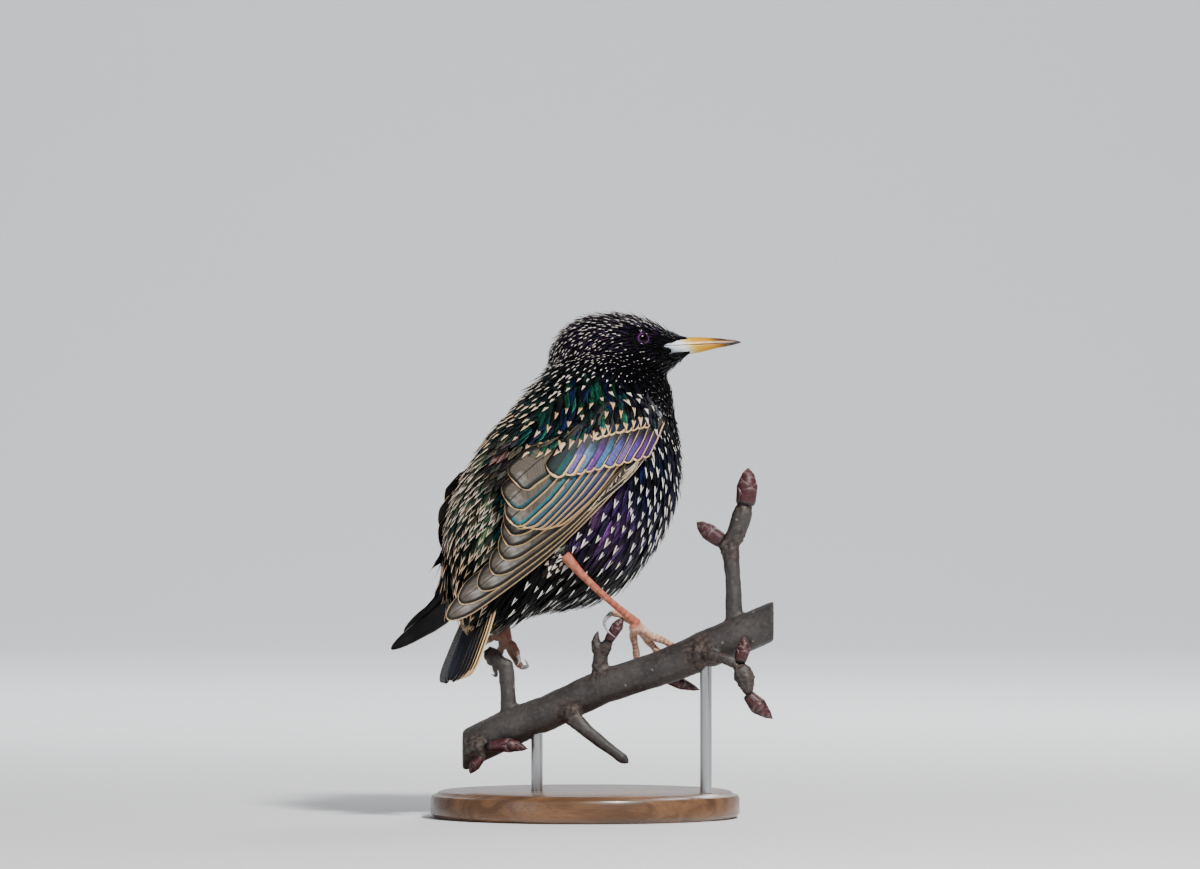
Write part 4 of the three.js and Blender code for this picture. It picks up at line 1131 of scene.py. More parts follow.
def shoulderPiece(name, surface, wing, seed):
    ground = coverField(surface, [skinTree, wing])
    coat = Coat(name)
    local = np.random.default_rng(seed)
    tries = np.column_stack([local.uniform(*ends, shoulder["tries"]) for ends in zip(*shoulder["area"])])
    low, high = np.interp(tries[:, 0], *shoulder["tips"]), np.interp(tries[:, 0], *shoulder["top"])
    tries = tries[(tries[:, 1] > low) & (tries[:, 1] < high)]
    border = np.arange(3.6, 44, shoulder["border"])
    low = np.interp(border, *shoulder["tips"]) + local.uniform(-0.2, 0.9, len(border))
    border = np.column_stack([border, low])
    tries = np.vstack([border, tries])
    tips, spots = np.zeros((0, 2)), []
    for spotted in (True, False):
        for k, place in enumerate(tries):
            gaps = np.linalg.norm(tips - place, axis=1) if len(tips) else np.array([99.0])
            if spotted and k < len(border):
                gaps = gaps + 2
            spotGap = blend(3.4, shoulder["spotSpacing"], float(smooth(0, 8, place[0])))
            if not (gaps < (spotGap if spotted else shoulder["spacing"])).any():
                tips = np.vstack([tips, place])
                spots.append(spotted)
    for tip, spotted in zip(tips, spots):
        part = float(smooth(0, 40, tip[0]))
        dx, dz = blend(0.06, -0.5, part) + local.normal(0, 0.05), blend(-1.0, -0.86, part)
        way = unit(np.array([-dx * planCos - dz * planSin, -dx * planSin + dz * planCos]))
        front = float(smooth(5, 2, tip[0]))
        long = shoulder["long"] * local.uniform(0.88, 1.12) * blend(1, 0.7, front)
        wide = shoulder["wide"] * local.uniform(0.88, 1.1) * blend(1, 0.66, front)
        bend = local.normal(0, 0.5)
        v, u = rowsLarge, np.linspace(-1, 1, 5)
        half = 0.5 * wide * featherShape(v, blend(0.7, 0.4, front))
        side = np.array([-way[1], way[0]])
        centre = tip - way * long * (1 - v[:, None]) + side * (bend * np.sin(v * math.pi))[:, None]
        middle = ground(centre[:, 0], centre[:, 1])
        shaft = surface(centre[:, 0], centre[:, 1], middle)
        if max(skinTree.find_nearest(Vector(p))[3] for p in shaft[:3]) > 9 * (1 - front) + 3:
            continue
        plan = centre[:, None] + side * (half[:, None] * u)[..., None]
        a, b = plan[..., 0], plan[..., 1]
        rise = (shoulder["rise"] + (0.25 if spotted else 0)) * local.uniform(0.85, 1.2)
        height = np.maximum(ground(a, b), middle[:, None] - 0.8) + shoulder["base"]
        height = height + rise * v[:, None] ** 1.3 - u**2 * 0.35
        gloss = np.array(shoulder["glosses"][local.integers(0, 6)]) * local.uniform(0.5, 1.5)
        gloss = gloss * (1 - front) + np.array([0.006, 0.008, 0.04]) * front
        spot = blend(shoulder["spot"], 2.5, front) * local.uniform(0.85, 1.15) / long if spotted else 0.0
        marks = [spot, float(np.clip(0.82 * (1 - front) + local.normal(0.05, 0.08), 0, 1)), local.random()]
        home = [0.5 + (0.2 if seed % 2 else -0.2) + 0.002 * tip[1], 0.36 + 0.004 * tip[0]]
        top, under = surface(a, b, height), surface(a, b, height - 0.22 * (1 - 0.7 * u**2))
        coat.add(top, under, [*np.clip(gloss, 0, 1), 1.0], marks, [0.0, 0.9], home, v=v,
                 rim=rimOf(v, u, half, long))
    return coat.piece(plumageLook, "plumage")


shoulders = [
    shoulderPiece("coatShoulderRight", onRightWing, wingTrees[0], 21),
    shoulderPiece("coatShoulderLeft", onLeftWing, wingTrees[1], 22),
]
coverTrees = wingTrees + [treeOf(piece.data) for piece in shoulders]

# small feathers rolled round the front edge of the far wing, in the wing's plan, in mm
wingFront = {"a": -3.6, "lift": 1.2, "round": 4.6, "from": 0, "to": 27, "long": 9.5, "wide": 3.6, "rows": 11,
             "across": 9, "spot": 2.3, "turn": 1.9}


def wingFrontPiece():
    coat = Coat("coatWingFront")
    local = np.random.default_rng(31)
    v, u = rowsLarge, np.linspace(-1, 1, 5)
    for row in range(wingFront["rows"]):
        for k in range(wingFront["across"]):
            low = blend(wingFront["from"], wingFront["to"], row / (wingFront["rows"] - 1))
            low = low + local.normal(0, 0.5)
            turn = blend(-1, 1, (k + 0.5 * (row % 2)) / wingFront["across"]) * wingFront["turn"]
            turn = turn + local.normal(0, 0.05)
            long, wide = (wingFront[key] * local.uniform(0.88, 1.1) for key in ("long", "wide"))
            half = 0.5 * wide * featherShape(v, 0.55)
            b = (low + long * (1 - v))[:, None] + 0 * u
            share = np.clip((b - wingFront["from"] + 3) / (wingFront["to"] - wingFront["from"] + 16), 0, 1)
            round_ = wingFront["round"] * np.sqrt(np.clip(4 * share * (1 - share), 0.1, 1))
            angle = turn + half[:, None] * u / wingFront["round"]
            height = round_ - 0.3 + 1.1 * v[:, None] ** 1.3 - u**2 * 0.2
            a = wingFront["a"] + 0.12 * (wingFront["to"] - b) - height * np.cos(angle)
            lift = wingFront["lift"] + height * np.sin(angle)
            inner = height - 0.2 * (1 - 0.7 * u**2)
            thick = height - inner
            under = onLeftWing(a + thick * np.cos(angle), b, lift - thick * np.sin(angle))
            spotted = (row + k) % 2 == 0
            spot = wingFront["spot"] * local.uniform(0.85, 1.15) / long if spotted else 0.0
            marks = [spot, 0.3 + local.normal(0.0, 0.08), local.random()]
            gloss = np.array([0.006, 0.02, 0.05]) * local.uniform(0.5, 2)
            home = [0.36 + 0.002 * low, 0.3 + 0.01 * k]
            coat.add(onLeftWing(a, b, lift), under, [*gloss, 1.0], marks, [0.0, 0.7], home, v=v,
                     rim=rimOf(v, u, half, long))
    coat.piece(plumageLook, "plumage")


wingFrontPiece()
print("shoulders made")

coatParts = {"coatHead": ["face", "crown", "cheek", "chin"], "coatNeck": ["throat", "nape"],
             "coatBreast": ["breast", "flank"],
             "coatBelly": ["belly", "vent", "thigh"], "coatBack": ["mantle", "rump", "coverts", "down"]}
ruffled = {"places": [[-56, 104], [-55, 96], [-54, 90]], "near": 6.5, "share": 0.5, "rise": 4.5, "stray": 0.3}


def covered(point, normal, reach):
    # true where a wing or a shoulder lies over this place of the skin
    start, way = Vector(point) + Vector(normal) * reach, -Vector(normal)
    return any(tree.ray_cast(start, way, reach)[0] is not None for tree in coverTrees)


def dressBody():
    coats = {name: Coat(name) for name in coatParts}
    holder = {region: name for name, group in coatParts.items() for region in group}
    kept = []
    for item in feathers:
        point, normal, values = item["point"], item["normal"], item["values"]
        if covered(point, normal, coatRules["under"]):
            continue
        main = names[int(np.argmax(item["mix"]))]
        item["pointed"] = values[7]
        item["stray"] = coatRules["stray"]
        item["rise"] = (coatRules["rise"] + coatRules["riseLong"] * values[0]) * rng.uniform(0.85, 1.2)
        raised = coatRules["spottedHead" if main in ("crown", "cheek") else "spotted"]
        item["base"] = coatRules["base"] + (raised if item["spotted"] else 0)
        if main in ("throat", "nape", "crown") and rng.random() < coatRules["looseShare"]:
            item["rise"] *= rng.uniform(1.2, 2.0)
            item["stray"] = coatRules["looseStray"]
        for place in ruffled["places"]:
            gap = math.hypot(point[0] - place[0], point[2] - place[1])
            if gap < ruffled["near"] and rng.random() < ruffled["share"]:
                item["rise"] += ruffled["rise"] * rng.random()
                item["stray"] = ruffled["stray"]
        spot = values[4] / values[0] * rng.uniform(0.85, 1.2) if item["spotted"] and values[4] > 0.2 else 0.0
        shine = np.clip(rng.lognormal(-0.35, 1.0 if main == "flank" else 0.75), 0.08, 3.0)
        gloss = values[9:12] * shine * rng.uniform(0.75, 1.3, 3)
        if main in ("mantle", "rump") and rng.random() < coatRules["tealShare"]:
            gloss = np.array(coatRules["teal"]) * shine
        item["gloss"] = [*np.clip(gloss, 0, 1), values[8]]
        warm = float(np.clip(values[5] + rng.normal(0, 0.08), 0, 1))
        item["marks"] = [spot, warm, rng.random()]
        edge = values[6] * rng.uniform(0.7, 1.25)
        straight = 0.2 if main in ("breast", "flank", "belly") else 0.85
        item["look"] = [edge if edge > coatRules["leastEdge"] else 0.0, straight]
        item["home"] = unwrapAll(np.array([item["share"]]), np.array([item["turn"]]))[0]
        layFeather(coats[holder[main]], item,
                   *((rowsSmall, 2) if values[0] < coatRules["smallest"] else (rowsLarge, 4)))
        kept.append(item)
    for coat in coats.values():
        coat.piece(plumageLook, "plumage")
    return kept


dressed = dressBody()
print("coat made", len(dressed))

# loose barbs that stand out at the tips
loose = {"share": 0.7, "long": 0.22, "wide": 0.09, "thick": 0.06, "inside": 0.35, "shortest": 4.5}


def barbPiece():
    coat = Coat("coatBarbs")
    for item in dressed:
        top, values = item["top"], item["values"]
        if values[0] < loose["shortest"] or rng.random() > loose["share"]:
            continue
        column = rng.integers(0, top.shape[1])
        row = top.shape[0] - 1 - rng.integers(0, 2)
        start = top[row, column]
        ahead = unit(top[row, column] - top[row - 2, column], 1e-9)
        side = np.cross(item["normal"], ahead)
        way = ahead + side * rng.normal(0, 0.25) + item["normal"] * rng.uniform(-0.05, 0.2)
        long = values[0] * loose["long"] * rng.uniform(0.5, 1.3)
        t = np.array([0, 0.5, 1.0])[:, None, None]
        u = np.array([-1, 0, 1.0])[None, :, None]
        half = loose["wide"] * np.array([1, 0.7, 0.05])[:, None, None]
        grid = start + way * long * (t - loose["inside"]) + side * u * half
        coat.add(grid, grid - item["normal"] * loose["thick"], item["gloss"], [0.0, item["marks"][1], 0.5],
                 [0.0, 0.5], item["home"], 0.002)
    coat.piece(plumageLook, "plumage")


barbPiece()

# bill: forward, height of the mouth's line, depth above and below it, and half width, in the head's own frame
bill = {
    "back": 16, "base": 22, "tip": 51.4, "gap": 0.1, "shorter": 0.7,
    "line": [[16, 176.4], [22, 176.9], [27.7, 177.1], [35.2, 177.3], [42.8, 177.8], [48.2, 178.1],
             [51.4, 178.1]],
    "above": [[16, 1.6], [22, 2.2], [27.7, 2.75], [30, 2.9], [35.2, 2.85], [39, 2.35], [42.8, 1.9],
              [45.8, 1.35], [48.2, 0.98], [50.4, 0.5], [51.4, 0.1]],
    "below": [[16, 3.0], [22, 4.4], [27.7, 3.7], [33.8, 3.2], [35.2, 2.95], [38.3, 2.4], [42.8, 1.6],
              [45.8, 1.35], [48.2, 0.95], [50.4, 0.42], [51.4, 0.1]],
}


def billLook():
    made, tree, shader = newMaterial("billHorn", Roughness=0.3, Specular_IOR_Level=0.35,
                                     Subsurface_Weight=0.04, Subsurface_Scale=0.0015)
    along = attribute(tree, "along")
    high = attribute(tree, "high")
    line = attribute(tree, "line")
    cloud = noiseOf(objectCoords(tree), 420.0, 4.0, 0.6)
    wander = cloud * 0.1 - 0.05
    slanted = high * 0.09 + (along + wander)
    colour = put(tree, "ValToRGB", {0: slanted})
    ramp = colour.socket.node.color_ramp
    stops = [(0.0, rgb(0.6, 0.68, 0.8)), (0.22, rgb(0.82, 0.86, 0.9)), (0.32, rgb(0.78, 0.56, 0.12)),
             (0.39, rgb(0.66, 0.36, 0.0)), (0.61, rgb(0.54, 0.23, 0.0)), (0.71, rgb(0.2, 0.075, 0.002)),
             (0.78, rgb(0.02, 0.012, 0.007)), (1.0, rgb(0.006, 0.005, 0.005))]
    ramp.elements[0].position, ramp.elements[0].color = stops[0]
    ramp.elements[1].position, ramp.elements[1].color = stops[-1]
    for position, tint in stops[1:-1]:
        ramp.elements.new(position).color = tint
    culmen = stretch(high + wander, 0.8, 0.97) * stretch(along, 0.42, 0.3)
    colour = mixed(culmen * 0.6, colour, rgb(0.1, 0.08, 0.07))
    strip = stretch(line, 1.5, 0.5) * stretch(line, -0.1, 0.2)
    strip = strip * (stretch(along, 0.42, 0.52) * stretch(along, 0.95, 0.8))
    colour = mixed(strip * 0.65, colour, rgb(0.3, 0.12, 0.03))
    nearLine = stretch(abs(line), 0.3, 0.05)
    colour = mixed(nearLine * 0.85, colour, rgb(0.05, 0.028, 0.015))
    crumbs = put(tree, "TexVoronoi", {"Vector": objectCoords(tree), "Scale": 1300.0}, "Distance")
    crumbs = stretch(crumbs, 0.3, 0.12) * stretch(along, 0.66, 0.82)
    colour = mixed(crumbs * 0.8, colour, rgb(0.42, 0.3, 0.18))
    feed(shader.inputs["Base Color"], colour)
    feed(shader.inputs["Roughness"], cloud * 0.25 + 0.2)
    fine = noiseOf(objectCoords(tree, (0.35, 0.35, 1.0)), 1400.0, 3.0)
    bump(shader, fine + crumbs * 2.0, 0.25, 0.00015)
    return made


billHorn = billLook()


def billPiece(name, node, up):
    shape, ball = unitBall(40, 48)
    tip = bill["tip"] - (0 if up > 0 else bill["shorter"])
    along = bill["back"] + (tip - bill["back"]) * (ball[:, 2] + 1) / 2
    spread = np.hypot(ball[:, 0], ball[:, 1])
    side, rise = ball[:, 0] / np.maximum(spread, 1e-6), ball[:, 1] / np.maximum(spread, 1e-6)
    at = along + (0 if up > 0 else bill["shorter"] * smooth(40, 51, along))
    outlines = bill["line"], bill["above" if up > 0 else "below"], billSide
    line, depth, wide = (alongKeys(keys, at) for keys in outlines)
    end = (spread > 1e-4) * smooth(0, 0.12, spread)
    outward = np.maximum(rise * up, 0) ** 1.08 * depth
    inward = np.maximum(-rise * up, 0) * 0.05
    height = line - (0 if up > 0 else bill["gap"]) + up * (outward - inward) * end
    width = side * wide * end * np.where(rise * up > 0, 1 - 0.12 * np.abs(rise), 0.97)
    hidden = ~insideBill(along, height) & (along < 33)
    width = width * np.where(hidden, 0.5, 1)
    mesh = shaped(shape, fromHead(np.stack([along, width, height], -1)), name)
    valueAttribute(mesh, "along", (along - bill["base"]) / (bill["tip"] - bill["base"]))
    valueAttribute(mesh, "high", (height - line) / np.maximum(depth, 0.3))
    valueAttribute(mesh, "line", height - line)
    newObject(name, mesh, billHorn, [node])


billPiece("billUpper", "bill_upper", 1)
billPiece("billLower", "bill_lower", -1)

# eyes and lids
eye = {"radius": 3.35, "ahead": 18, "above": 6, "rimOut": 2.62, "rimWide": 2.05, "rimThick": 0.22,
       "narrow": 0.84}


def eyeLook():
    made, tree, shader = newMaterial("eyeBall", Roughness=0.03, Specular_IOR_Level=0.16)
    gaze = attribute(tree, "gaze")
    streaks = noiseOf(objectCoords(tree), 2600.0, 3.0)
    iris = mixed(streaks, rgb(0.012, 0.005, 0.004), rgb(0.005, 0.003, 0.003))
    colour = mixed(stretch(gaze, 0.36, 0.4), rgb(0.001, 0.001, 0.001), iris)
    # a thin dark purple ring near the edge of the iris: a painted reflection
    colour = mixed(stretch(gaze, 0.6, 0.66) * stretch(gaze, 0.8, 0.74), colour, rgb(0.03, 0.006, 0.05))
    feed(shader.inputs["Base Color"], colour)
    return made


def rimLook():
    made, tree, shader = newMaterial("eyeRim", Roughness=0.4, Specular_IOR_Level=0.2)
    cells = put(tree, "TexVoronoi", {"Vector": objectCoords(tree), "Scale": 2600.0}, "Distance")
    # the lid is painted purple: a painted sheen on its dark skin
    colour = mixed(stretch(cells, 0.1, 0.6), rgb(0.05, 0.008, 0.09), rgb(0.11, 0.02, 0.16))
    feed(shader.inputs["Base Color"], colour)
    bump(shader, cells, 0.5, 0.0001)
    return made


def eyePiece(name, side, node, material, rimMaterial):
    centre = eyePlaces[side]
    heading = stance["headTurn"] - side * eye["ahead"] + stance["bodyTurn"]
    gaze = turned(np.array([0, float(side), 0]), heading)
    gaze[2] = math.sin(math.radians(eye["above"]))
    gaze /= np.linalg.norm(gaze)
    turn = Vector((0, 0, 1)).rotation_difference(Vector(gaze)).to_matrix().to_4x4()
    shape = bmesh.new()
    bmesh.ops.create_uvsphere(shape, u_segments=48, v_segments=32, radius=eye["radius"] * mm)
    bmesh.ops.transform(shape, matrix=Matrix.Translation(Vector(centre * mm)) @ turn, verts=shape.verts)
    mesh = finished(shape, name, False)
    away = (pointsOf(mesh) - centre) @ gaze / eye["radius"]
    valueAttribute(mesh, "gaze", np.sqrt(np.clip(1 - away**2, 0, 1)) * np.where(away > 0, 1, 2))
    newObject(name, mesh, material, [node])
    rim = bmesh.new()
    bmesh.ops.create_circle(rim, segments=10, radius=eye["rimThick"] * mm)
    bmesh.ops.rotate(rim, verts=rim.verts, matrix=Matrix.Rotation(math.radians(90), 3, "X"))
    bmesh.ops.translate(rim, verts=rim.verts, vec=(eye["rimWide"] * mm, 0, 0))
    bmesh.ops.spin(rim, geom=rim.verts[:] + rim.edges[:], axis=(0, 0, 1), cent=(0, 0, 0), angle=2 * math.pi,
                   steps=40, use_merge=True)
    bmesh.ops.recalc_face_normals(rim, faces=rim.faces)
    bmesh.ops.scale(rim, verts=rim.verts, vec=(1, eye["narrow"], 1))
    place = Matrix.Translation(Vector((centre + gaze * eye["rimOut"]) * mm))
    bmesh.ops.transform(rim, matrix=place @ turn, verts=rim.verts)
    newObject(name + "Rim", finished(rim, name + "Rim", False), rimMaterial)


eyeMaterial, rimMaterial = eyeLook(), rimLook()
eyePiece("eyeLeft", 1, "eye_left", eyeMaterial, rimMaterial)
eyePiece("eyeRight", -1, "eye_right", eyeMaterial, rimMaterial)
print("head made")

# legs and feet: points of each limb in the model's frame, mm
legs = {
    "Right": {
        "tarsus": [([-7.5, -26.9, 98.5], 2.2), ([-5.4, -27.2, 96.2], 2.0), ([-2, -25.6, 92], 1.42),
                   ([6.5, -22, 83.7], 1.3), ([14, -18.3, 77.4], 1.35), ([19.6, -15.6, 73], 1.75)],
        "toes": [
            [[19.4, -15, 72.6], [24.6, -15, 68.4], [29, -14.2, 66.6], [32.7, -13, 64.2], [34.4, -11.2, 61]],
            [[19, -14.5, 72], [23.2, -12.6, 66.8], [26.2, -12.2, 63.4], [28.4, -11.2, 60]],
            [[18.6, -14.5, 72], [18, -12.6, 68.6], [19, -9.6, 63], [19.4, -8.2, 58]],
            [[19.6, -15, 72], [16.2, -13.6, 74.4], [12.4, -13.4, 76.4], [9.4, -15.4, 76.6]],
        ],
        "claws": [
            [[34.2, -11.4, 61.4], [35, -10.8, 58.5], [35, -12.2, 55.5]],
            [[28.2, -11.4, 60.4], [29.4, -10.6, 57.5], [29.6, -11.8, 54.4]],
            [[19.3, -8.4, 58.4], [19.8, -7.8, 54.8], [19.9, -9, 51.2]],
            [[9.8, -15.2, 76.6], [7.2, -18.6, 73.8], [8.4, -20.8, 70.2], [11.6, -21.2, 67.6]],
        ],
        "pad": [18.6, -15.4, 71.2], "nodes": ["tarsus_right", "foot_right"],
    },
    "Left": {
        "tarsus": [([-30.8, 0, 74.5], 2.6), ([-30.4, 0.6, 71], 2.2), ([-29.4, 1.2, 66.4], 2.2)],
        "toes": [
            [[-29.6, 1.4, 66.2], [-26.6, 0.4, 63.8], [-25.2, -0.8, 60.2]],
            [[-29.6, 2, 66], [-28, 6.6, 62.4], [-25.6, 5.6, 58], [-23.4, 2.4, 55.9]],
            [[-30, 2, 66], [-32, 6.4, 62], [-33.4, 5.6, 57.4], [-33.8, 3, 54.6]],
            [[-30, 1, 66.4], [-34, -1.8, 67.6], [-36.6, -3.6, 66]],
        ],
        "claws": [
            [[-25.3, -0.7, 60.8], [-24.6, -1.6, 58.6], [-25.4, -2.8, 56.8]],
            [[-23.6, 2.8, 56], [-21.4, 1.4, 56.6], [-22.8, 1, 59.4]],
            [[-33.7, 3.2, 55], [-33.4, 1.6, 52.8], [-35.4, 0.8, 53.6]],
            [[-36.4, -3.4, 66.2], [-38.8, -4.6, 63.6], [-39.2, -4.4, 60]],
        ],
        "pad": [-30.4, 1.2, 65.2], "nodes": ["tarsus_left", "foot_left"],
    },
}
# far: how strongly the far leg is painted darker, a painted shade
foot = {"toe": 1.48, "joint": 0.28, "pad": 2.3, "claw": [0.95, 0.72, 0.4, 0.06], "far": 0.75,
        "voxel": 0.00033, "rounds": 4,
        "toePoints": 24, "shankPoints": 40, "toeRun": 18, "shankRun": 31}


def legLook():
    made, tree, shader = newMaterial("legScales", Roughness=0.42, Subsurface_Weight=0.12,
                                     Subsurface_Scale=0.0015)
    place = objectCoords(tree)
    along = attribute(tree, "along")
    toeShare = attribute(tree, "toe")
    shade = attribute(tree, "far")
    wander = noiseOf(place, 500.0, 3.0)
    rings = maths("FRACT", along * 0.62 + wander * 0.35)
    groove = stretch(abs(rings - 0.5), 0.38, 0.5)
    cells = put(tree, "TexVoronoi", {"Vector": place, "Scale": 1500.0}, "Distance",
                feature="DISTANCE_TO_EDGE")
    pink = mixed(stretch(wander, 0.3, 0.7), rgb(0.42, 0.1, 0.055), rgb(0.56, 0.19, 0.115))
    pale = mixed(stretch(noiseOf(place, 900.0, 4.0), 0.35, 0.65), rgb(0.55, 0.26, 0.16), rgb(0.72, 0.5, 0.38))
    colour = mixed(toeShare, pink, pale)
    colour = mixed(groove * 0.55, colour, rgb(0.2, 0.045, 0.022))
    # the far leg is painted darker here: painted shade
    colour = mixed(shade, colour, rgb(0.16, 0.06, 0.045))
    feed(shader.inputs["Base Color"], colour)
    feed(shader.inputs["Roughness"], wander * 0.25 + 0.3)
    height = stretch(cells, 0.0, 0.12) * 0.35 - groove
    bump(shader, height, 0.7, 0.00025)
    return made


def clawLook():
    made, tree, shader = newMaterial("clawHorn", Roughness=0.3, Coat_Weight=0.3, Coat_Roughness=0.15)
    streaks = noiseOf(objectCoords(tree, (1, 1, 0.3)), 1800.0, 3.0)
    colour = mixed(stretch(streaks, 0.35, 0.65), rgb(0.16, 0.15, 0.16), rgb(0.42, 0.4, 0.41))
    feed(shader.inputs["Base Color"], colour)
    return made


legScales, clawHorn = legLook(), clawLook()


def legPiece(side):
    limbs = legs[side]
    shank = ([p for p, _ in limbs["tarsus"]], [r for _, r in limbs["tarsus"]])
    toes = []
    for path in limbs["toes"]:
        line = throughPoints(path, 17)
        radii = [foot["toe"] * (1.08 - 0.016 * i) + foot["joint"] * math.cos(i / 16 * math.pi * 2 * 2.6) * 0.6
                 for i in range(17)]
        toes.append((line.tolist(), radii))
    meshes = [tube("shank", [shank], 16, 10), tube("toes", toes, 16, 2)]
    shape = bmesh.new()
    bmesh.ops.create_uvsphere(shape, u_segments=20, v_segments=14, radius=foot["pad"] * mm)
    bmesh.ops.translate(shape, verts=shape.verts, vec=[v * mm for v in limbs["pad"]])
    meshes.append(finished(shape, "pad", False))
    mesh = remeshed("leg" + side, meshes, foot["voxel"], foot["rounds"])
    points = pointsOf(mesh)
    many, few, count = foot["shankPoints"], foot["toePoints"], len(limbs["toes"])
    line = np.vstack([throughPoints(shank[0], many)] + [throughPoints(p, few) for p in limbs["toes"]])
    isToe = np.concatenate([np.zeros(many), np.ones(few * count)])
    toeRuns = [np.linspace(0, foot["toeRun"], few)] * count
    run = np.concatenate([np.linspace(0, foot["shankRun"], many), *toeRuns])
    finder = finderOf(line)
    near = [finder.find_n(p, 3) for p in points]
    along = [sum(run[n[1]] / (n[2] + 0.1) for n in group) / sum(1 / (n[2] + 0.1) for n in group)
             for group in near]
    valueAttribute(mesh, "along", along)
    toeShare = np.array([np.mean([isToe[n[1]] for n in group]) for group in near])
    valueAttribute(mesh, "toe", smooth(0.2, 0.8, toeShare))
    # the left leg, on the far side, gets its painted shade through this value
    valueAttribute(mesh, "far", np.full(len(points), 0.0 if side == "Right" else foot["far"]))
    newObject("leg" + side, mesh, legScales, limbs["nodes"])
    radii = np.interp(np.linspace(0, 1, 9), np.linspace(0, 1, 4), foot["claw"]).tolist()
    clawMesh = tube("claws" + side, [(throughPoints(p, 9).tolist(), radii) for p in limbs["claws"]], 16, 3)
    shadeSmooth(clawMesh)
    newObject("claws" + side, clawMesh, clawHorn)


legPiece("Right")
legPiece("Left")
print("legs made")

# perch: bark over the branch's solid, cut ends and buds
perch = {"voxel": 0.0007, "rounds": 5, "rough": 0.22, "wave": 0.16, "crag": 0.55, "knotHigh": 0.8,
         "cuts": [-46, 70], "centres": [[1.8, 24.6], [-31.2, 74.4]]}


def barkLook():
    made, tree, shader = newMaterial("smoothBark", Roughness=0.62)
    place = objectCoords(tree)
    cloud = noiseOf(place, 60.0, 5.0, 0.6)
    fine = noiseOf(place, 700.0, 4.0, 0.65)
    knots = attribute(tree, "knot")
    colour = mixed(stretch(cloud, 0.3, 0.7), rgb(0.022, 0.019, 0.019), rgb(0.06, 0.052, 0.049))
    colour = mixed(stretch(fine, 0.52, 0.7) * 0.5, colour, rgb(0.1, 0.088, 0.08))
    colour = mixed(stretch(fine, 0.48, 0.3) * 0.6, colour, rgb(0.009, 0.008, 0.008))
    dots = put(tree, "TexVoronoi", {"Vector": place, "Scale": 190.0}, "Distance")
    chosen = stretch(split(dots.beside("Color"), "Color")[0], 0.62, 0.66)
    lens = stretch(dots, 0.13, 0.08) * chosen
    colour = mixed(lens * 0.7, colour, rgb(0.2, 0.17, 0.14))
    knotColour = mixed(stretch(fine, 0.4, 0.6), rgb(0.014, 0.009, 0.008), rgb(0.08, 0.052, 0.04))
    colour = mixed(knots * 0.8, colour, knotColour)
    feed(shader.inputs["Base Color"], colour)
    feed(shader.inputs["Roughness"], fine * 0.3 + 0.42)
    height = fine * 0.6 + lens * 1.2
    bump(shader, height, 0.6, 0.0004)
    return made


def cutLook():
    made, tree, shader = newMaterial("cutWood", Roughness=0.7)
    place = objectCoords(tree)
    centre = attribute(tree, "ring")
    wander = noiseOf(place, 300.0, 3.0)
    rings = maths("SINE", (centre + wander) * 7.0)
    wood = mixed(stretch(rings, -0.6, 0.9), rgb(0.5, 0.36, 0.2), rgb(0.66, 0.52, 0.33))
    feed(shader.inputs["Base Color"], mixed(stretch(centre, 5.6, 6.2), wood, rgb(0.1, 0.06, 0.04)))
    bump(shader, rings, 0.3, 0.0002)
    return made


knotSpots = [([5.6, -13.5, 55], 6), ([4.5, -15.5, 64], 4), ([8, -16, 64], 3.6), ([43.5, -29, 62], 7),
             ([50, -35, 60.5], 3), ([57.5, -36, 57.5], 4), ([59.1, -36, 53], 5),
             ([55.8, -27, 71], 5), ([53.6, -26, 101], 6), ([57, -26, 107], 4), ([59.5, -26, 118], 5),
             ([-41, -8, 26], 6), ([-35.5, -2.5, 61], 5),
             ([-28.5, -3, 37], 4.5), ([-5, -14, 39], 6), ([30.5, -15, 53], 5)]


def perchPiece():
    mesh = remeshed("branchBark", [solids["perch_branch"]], perch["voxel"], perch["rounds"])
    points, normals = pointsOf(mesh), normalsOf(mesh)
    atCut = (np.abs(points[:, 0] - perch["cuts"][0]) < 0.9) | (np.abs(points[:, 0] - perch["cuts"][1]) < 0.9)
    knot = np.zeros(len(points))
    for spot, size in knotSpots:
        knot = np.maximum(knot, smooth(size * 1.25, size * 0.6, np.linalg.norm(points - spot, axis=1)))
    wave = np.array([noise.fractal(Vector(p) * perch["wave"], 0.9, 2.0, 4) for p in points])
    crag = np.array([noise.turbulence(Vector(p) * perch["crag"], 3, True) for p in points])
    swell = wave * perch["rough"] + knot * (crag - 0.55) * perch["knotHigh"]
    points = points + normals * np.where(atCut, 0, swell)[:, None]
    setPoints(mesh, points)
    valueAttribute(mesh, "knot", np.clip(knot * 1.1, 0, 1))
    low, high = (np.hypot(points[:, 1] - y, points[:, 2] - z) for y, z in perch["centres"])
    valueAttribute(mesh, "ring", np.where(points[:, 0] < 0, low, high))
    newObject("branchBark", mesh, [barkLook(), cutLook()], ["perch_branch"])
    for face in mesh.polygons:
        x = face.center.x / mm
        if abs(face.normal.x) > 0.8 and min(abs(x - perch["cuts"][0]), abs(x - perch["cuts"][1])) < 1.2:
            face.material_index = 1


perchPiece()

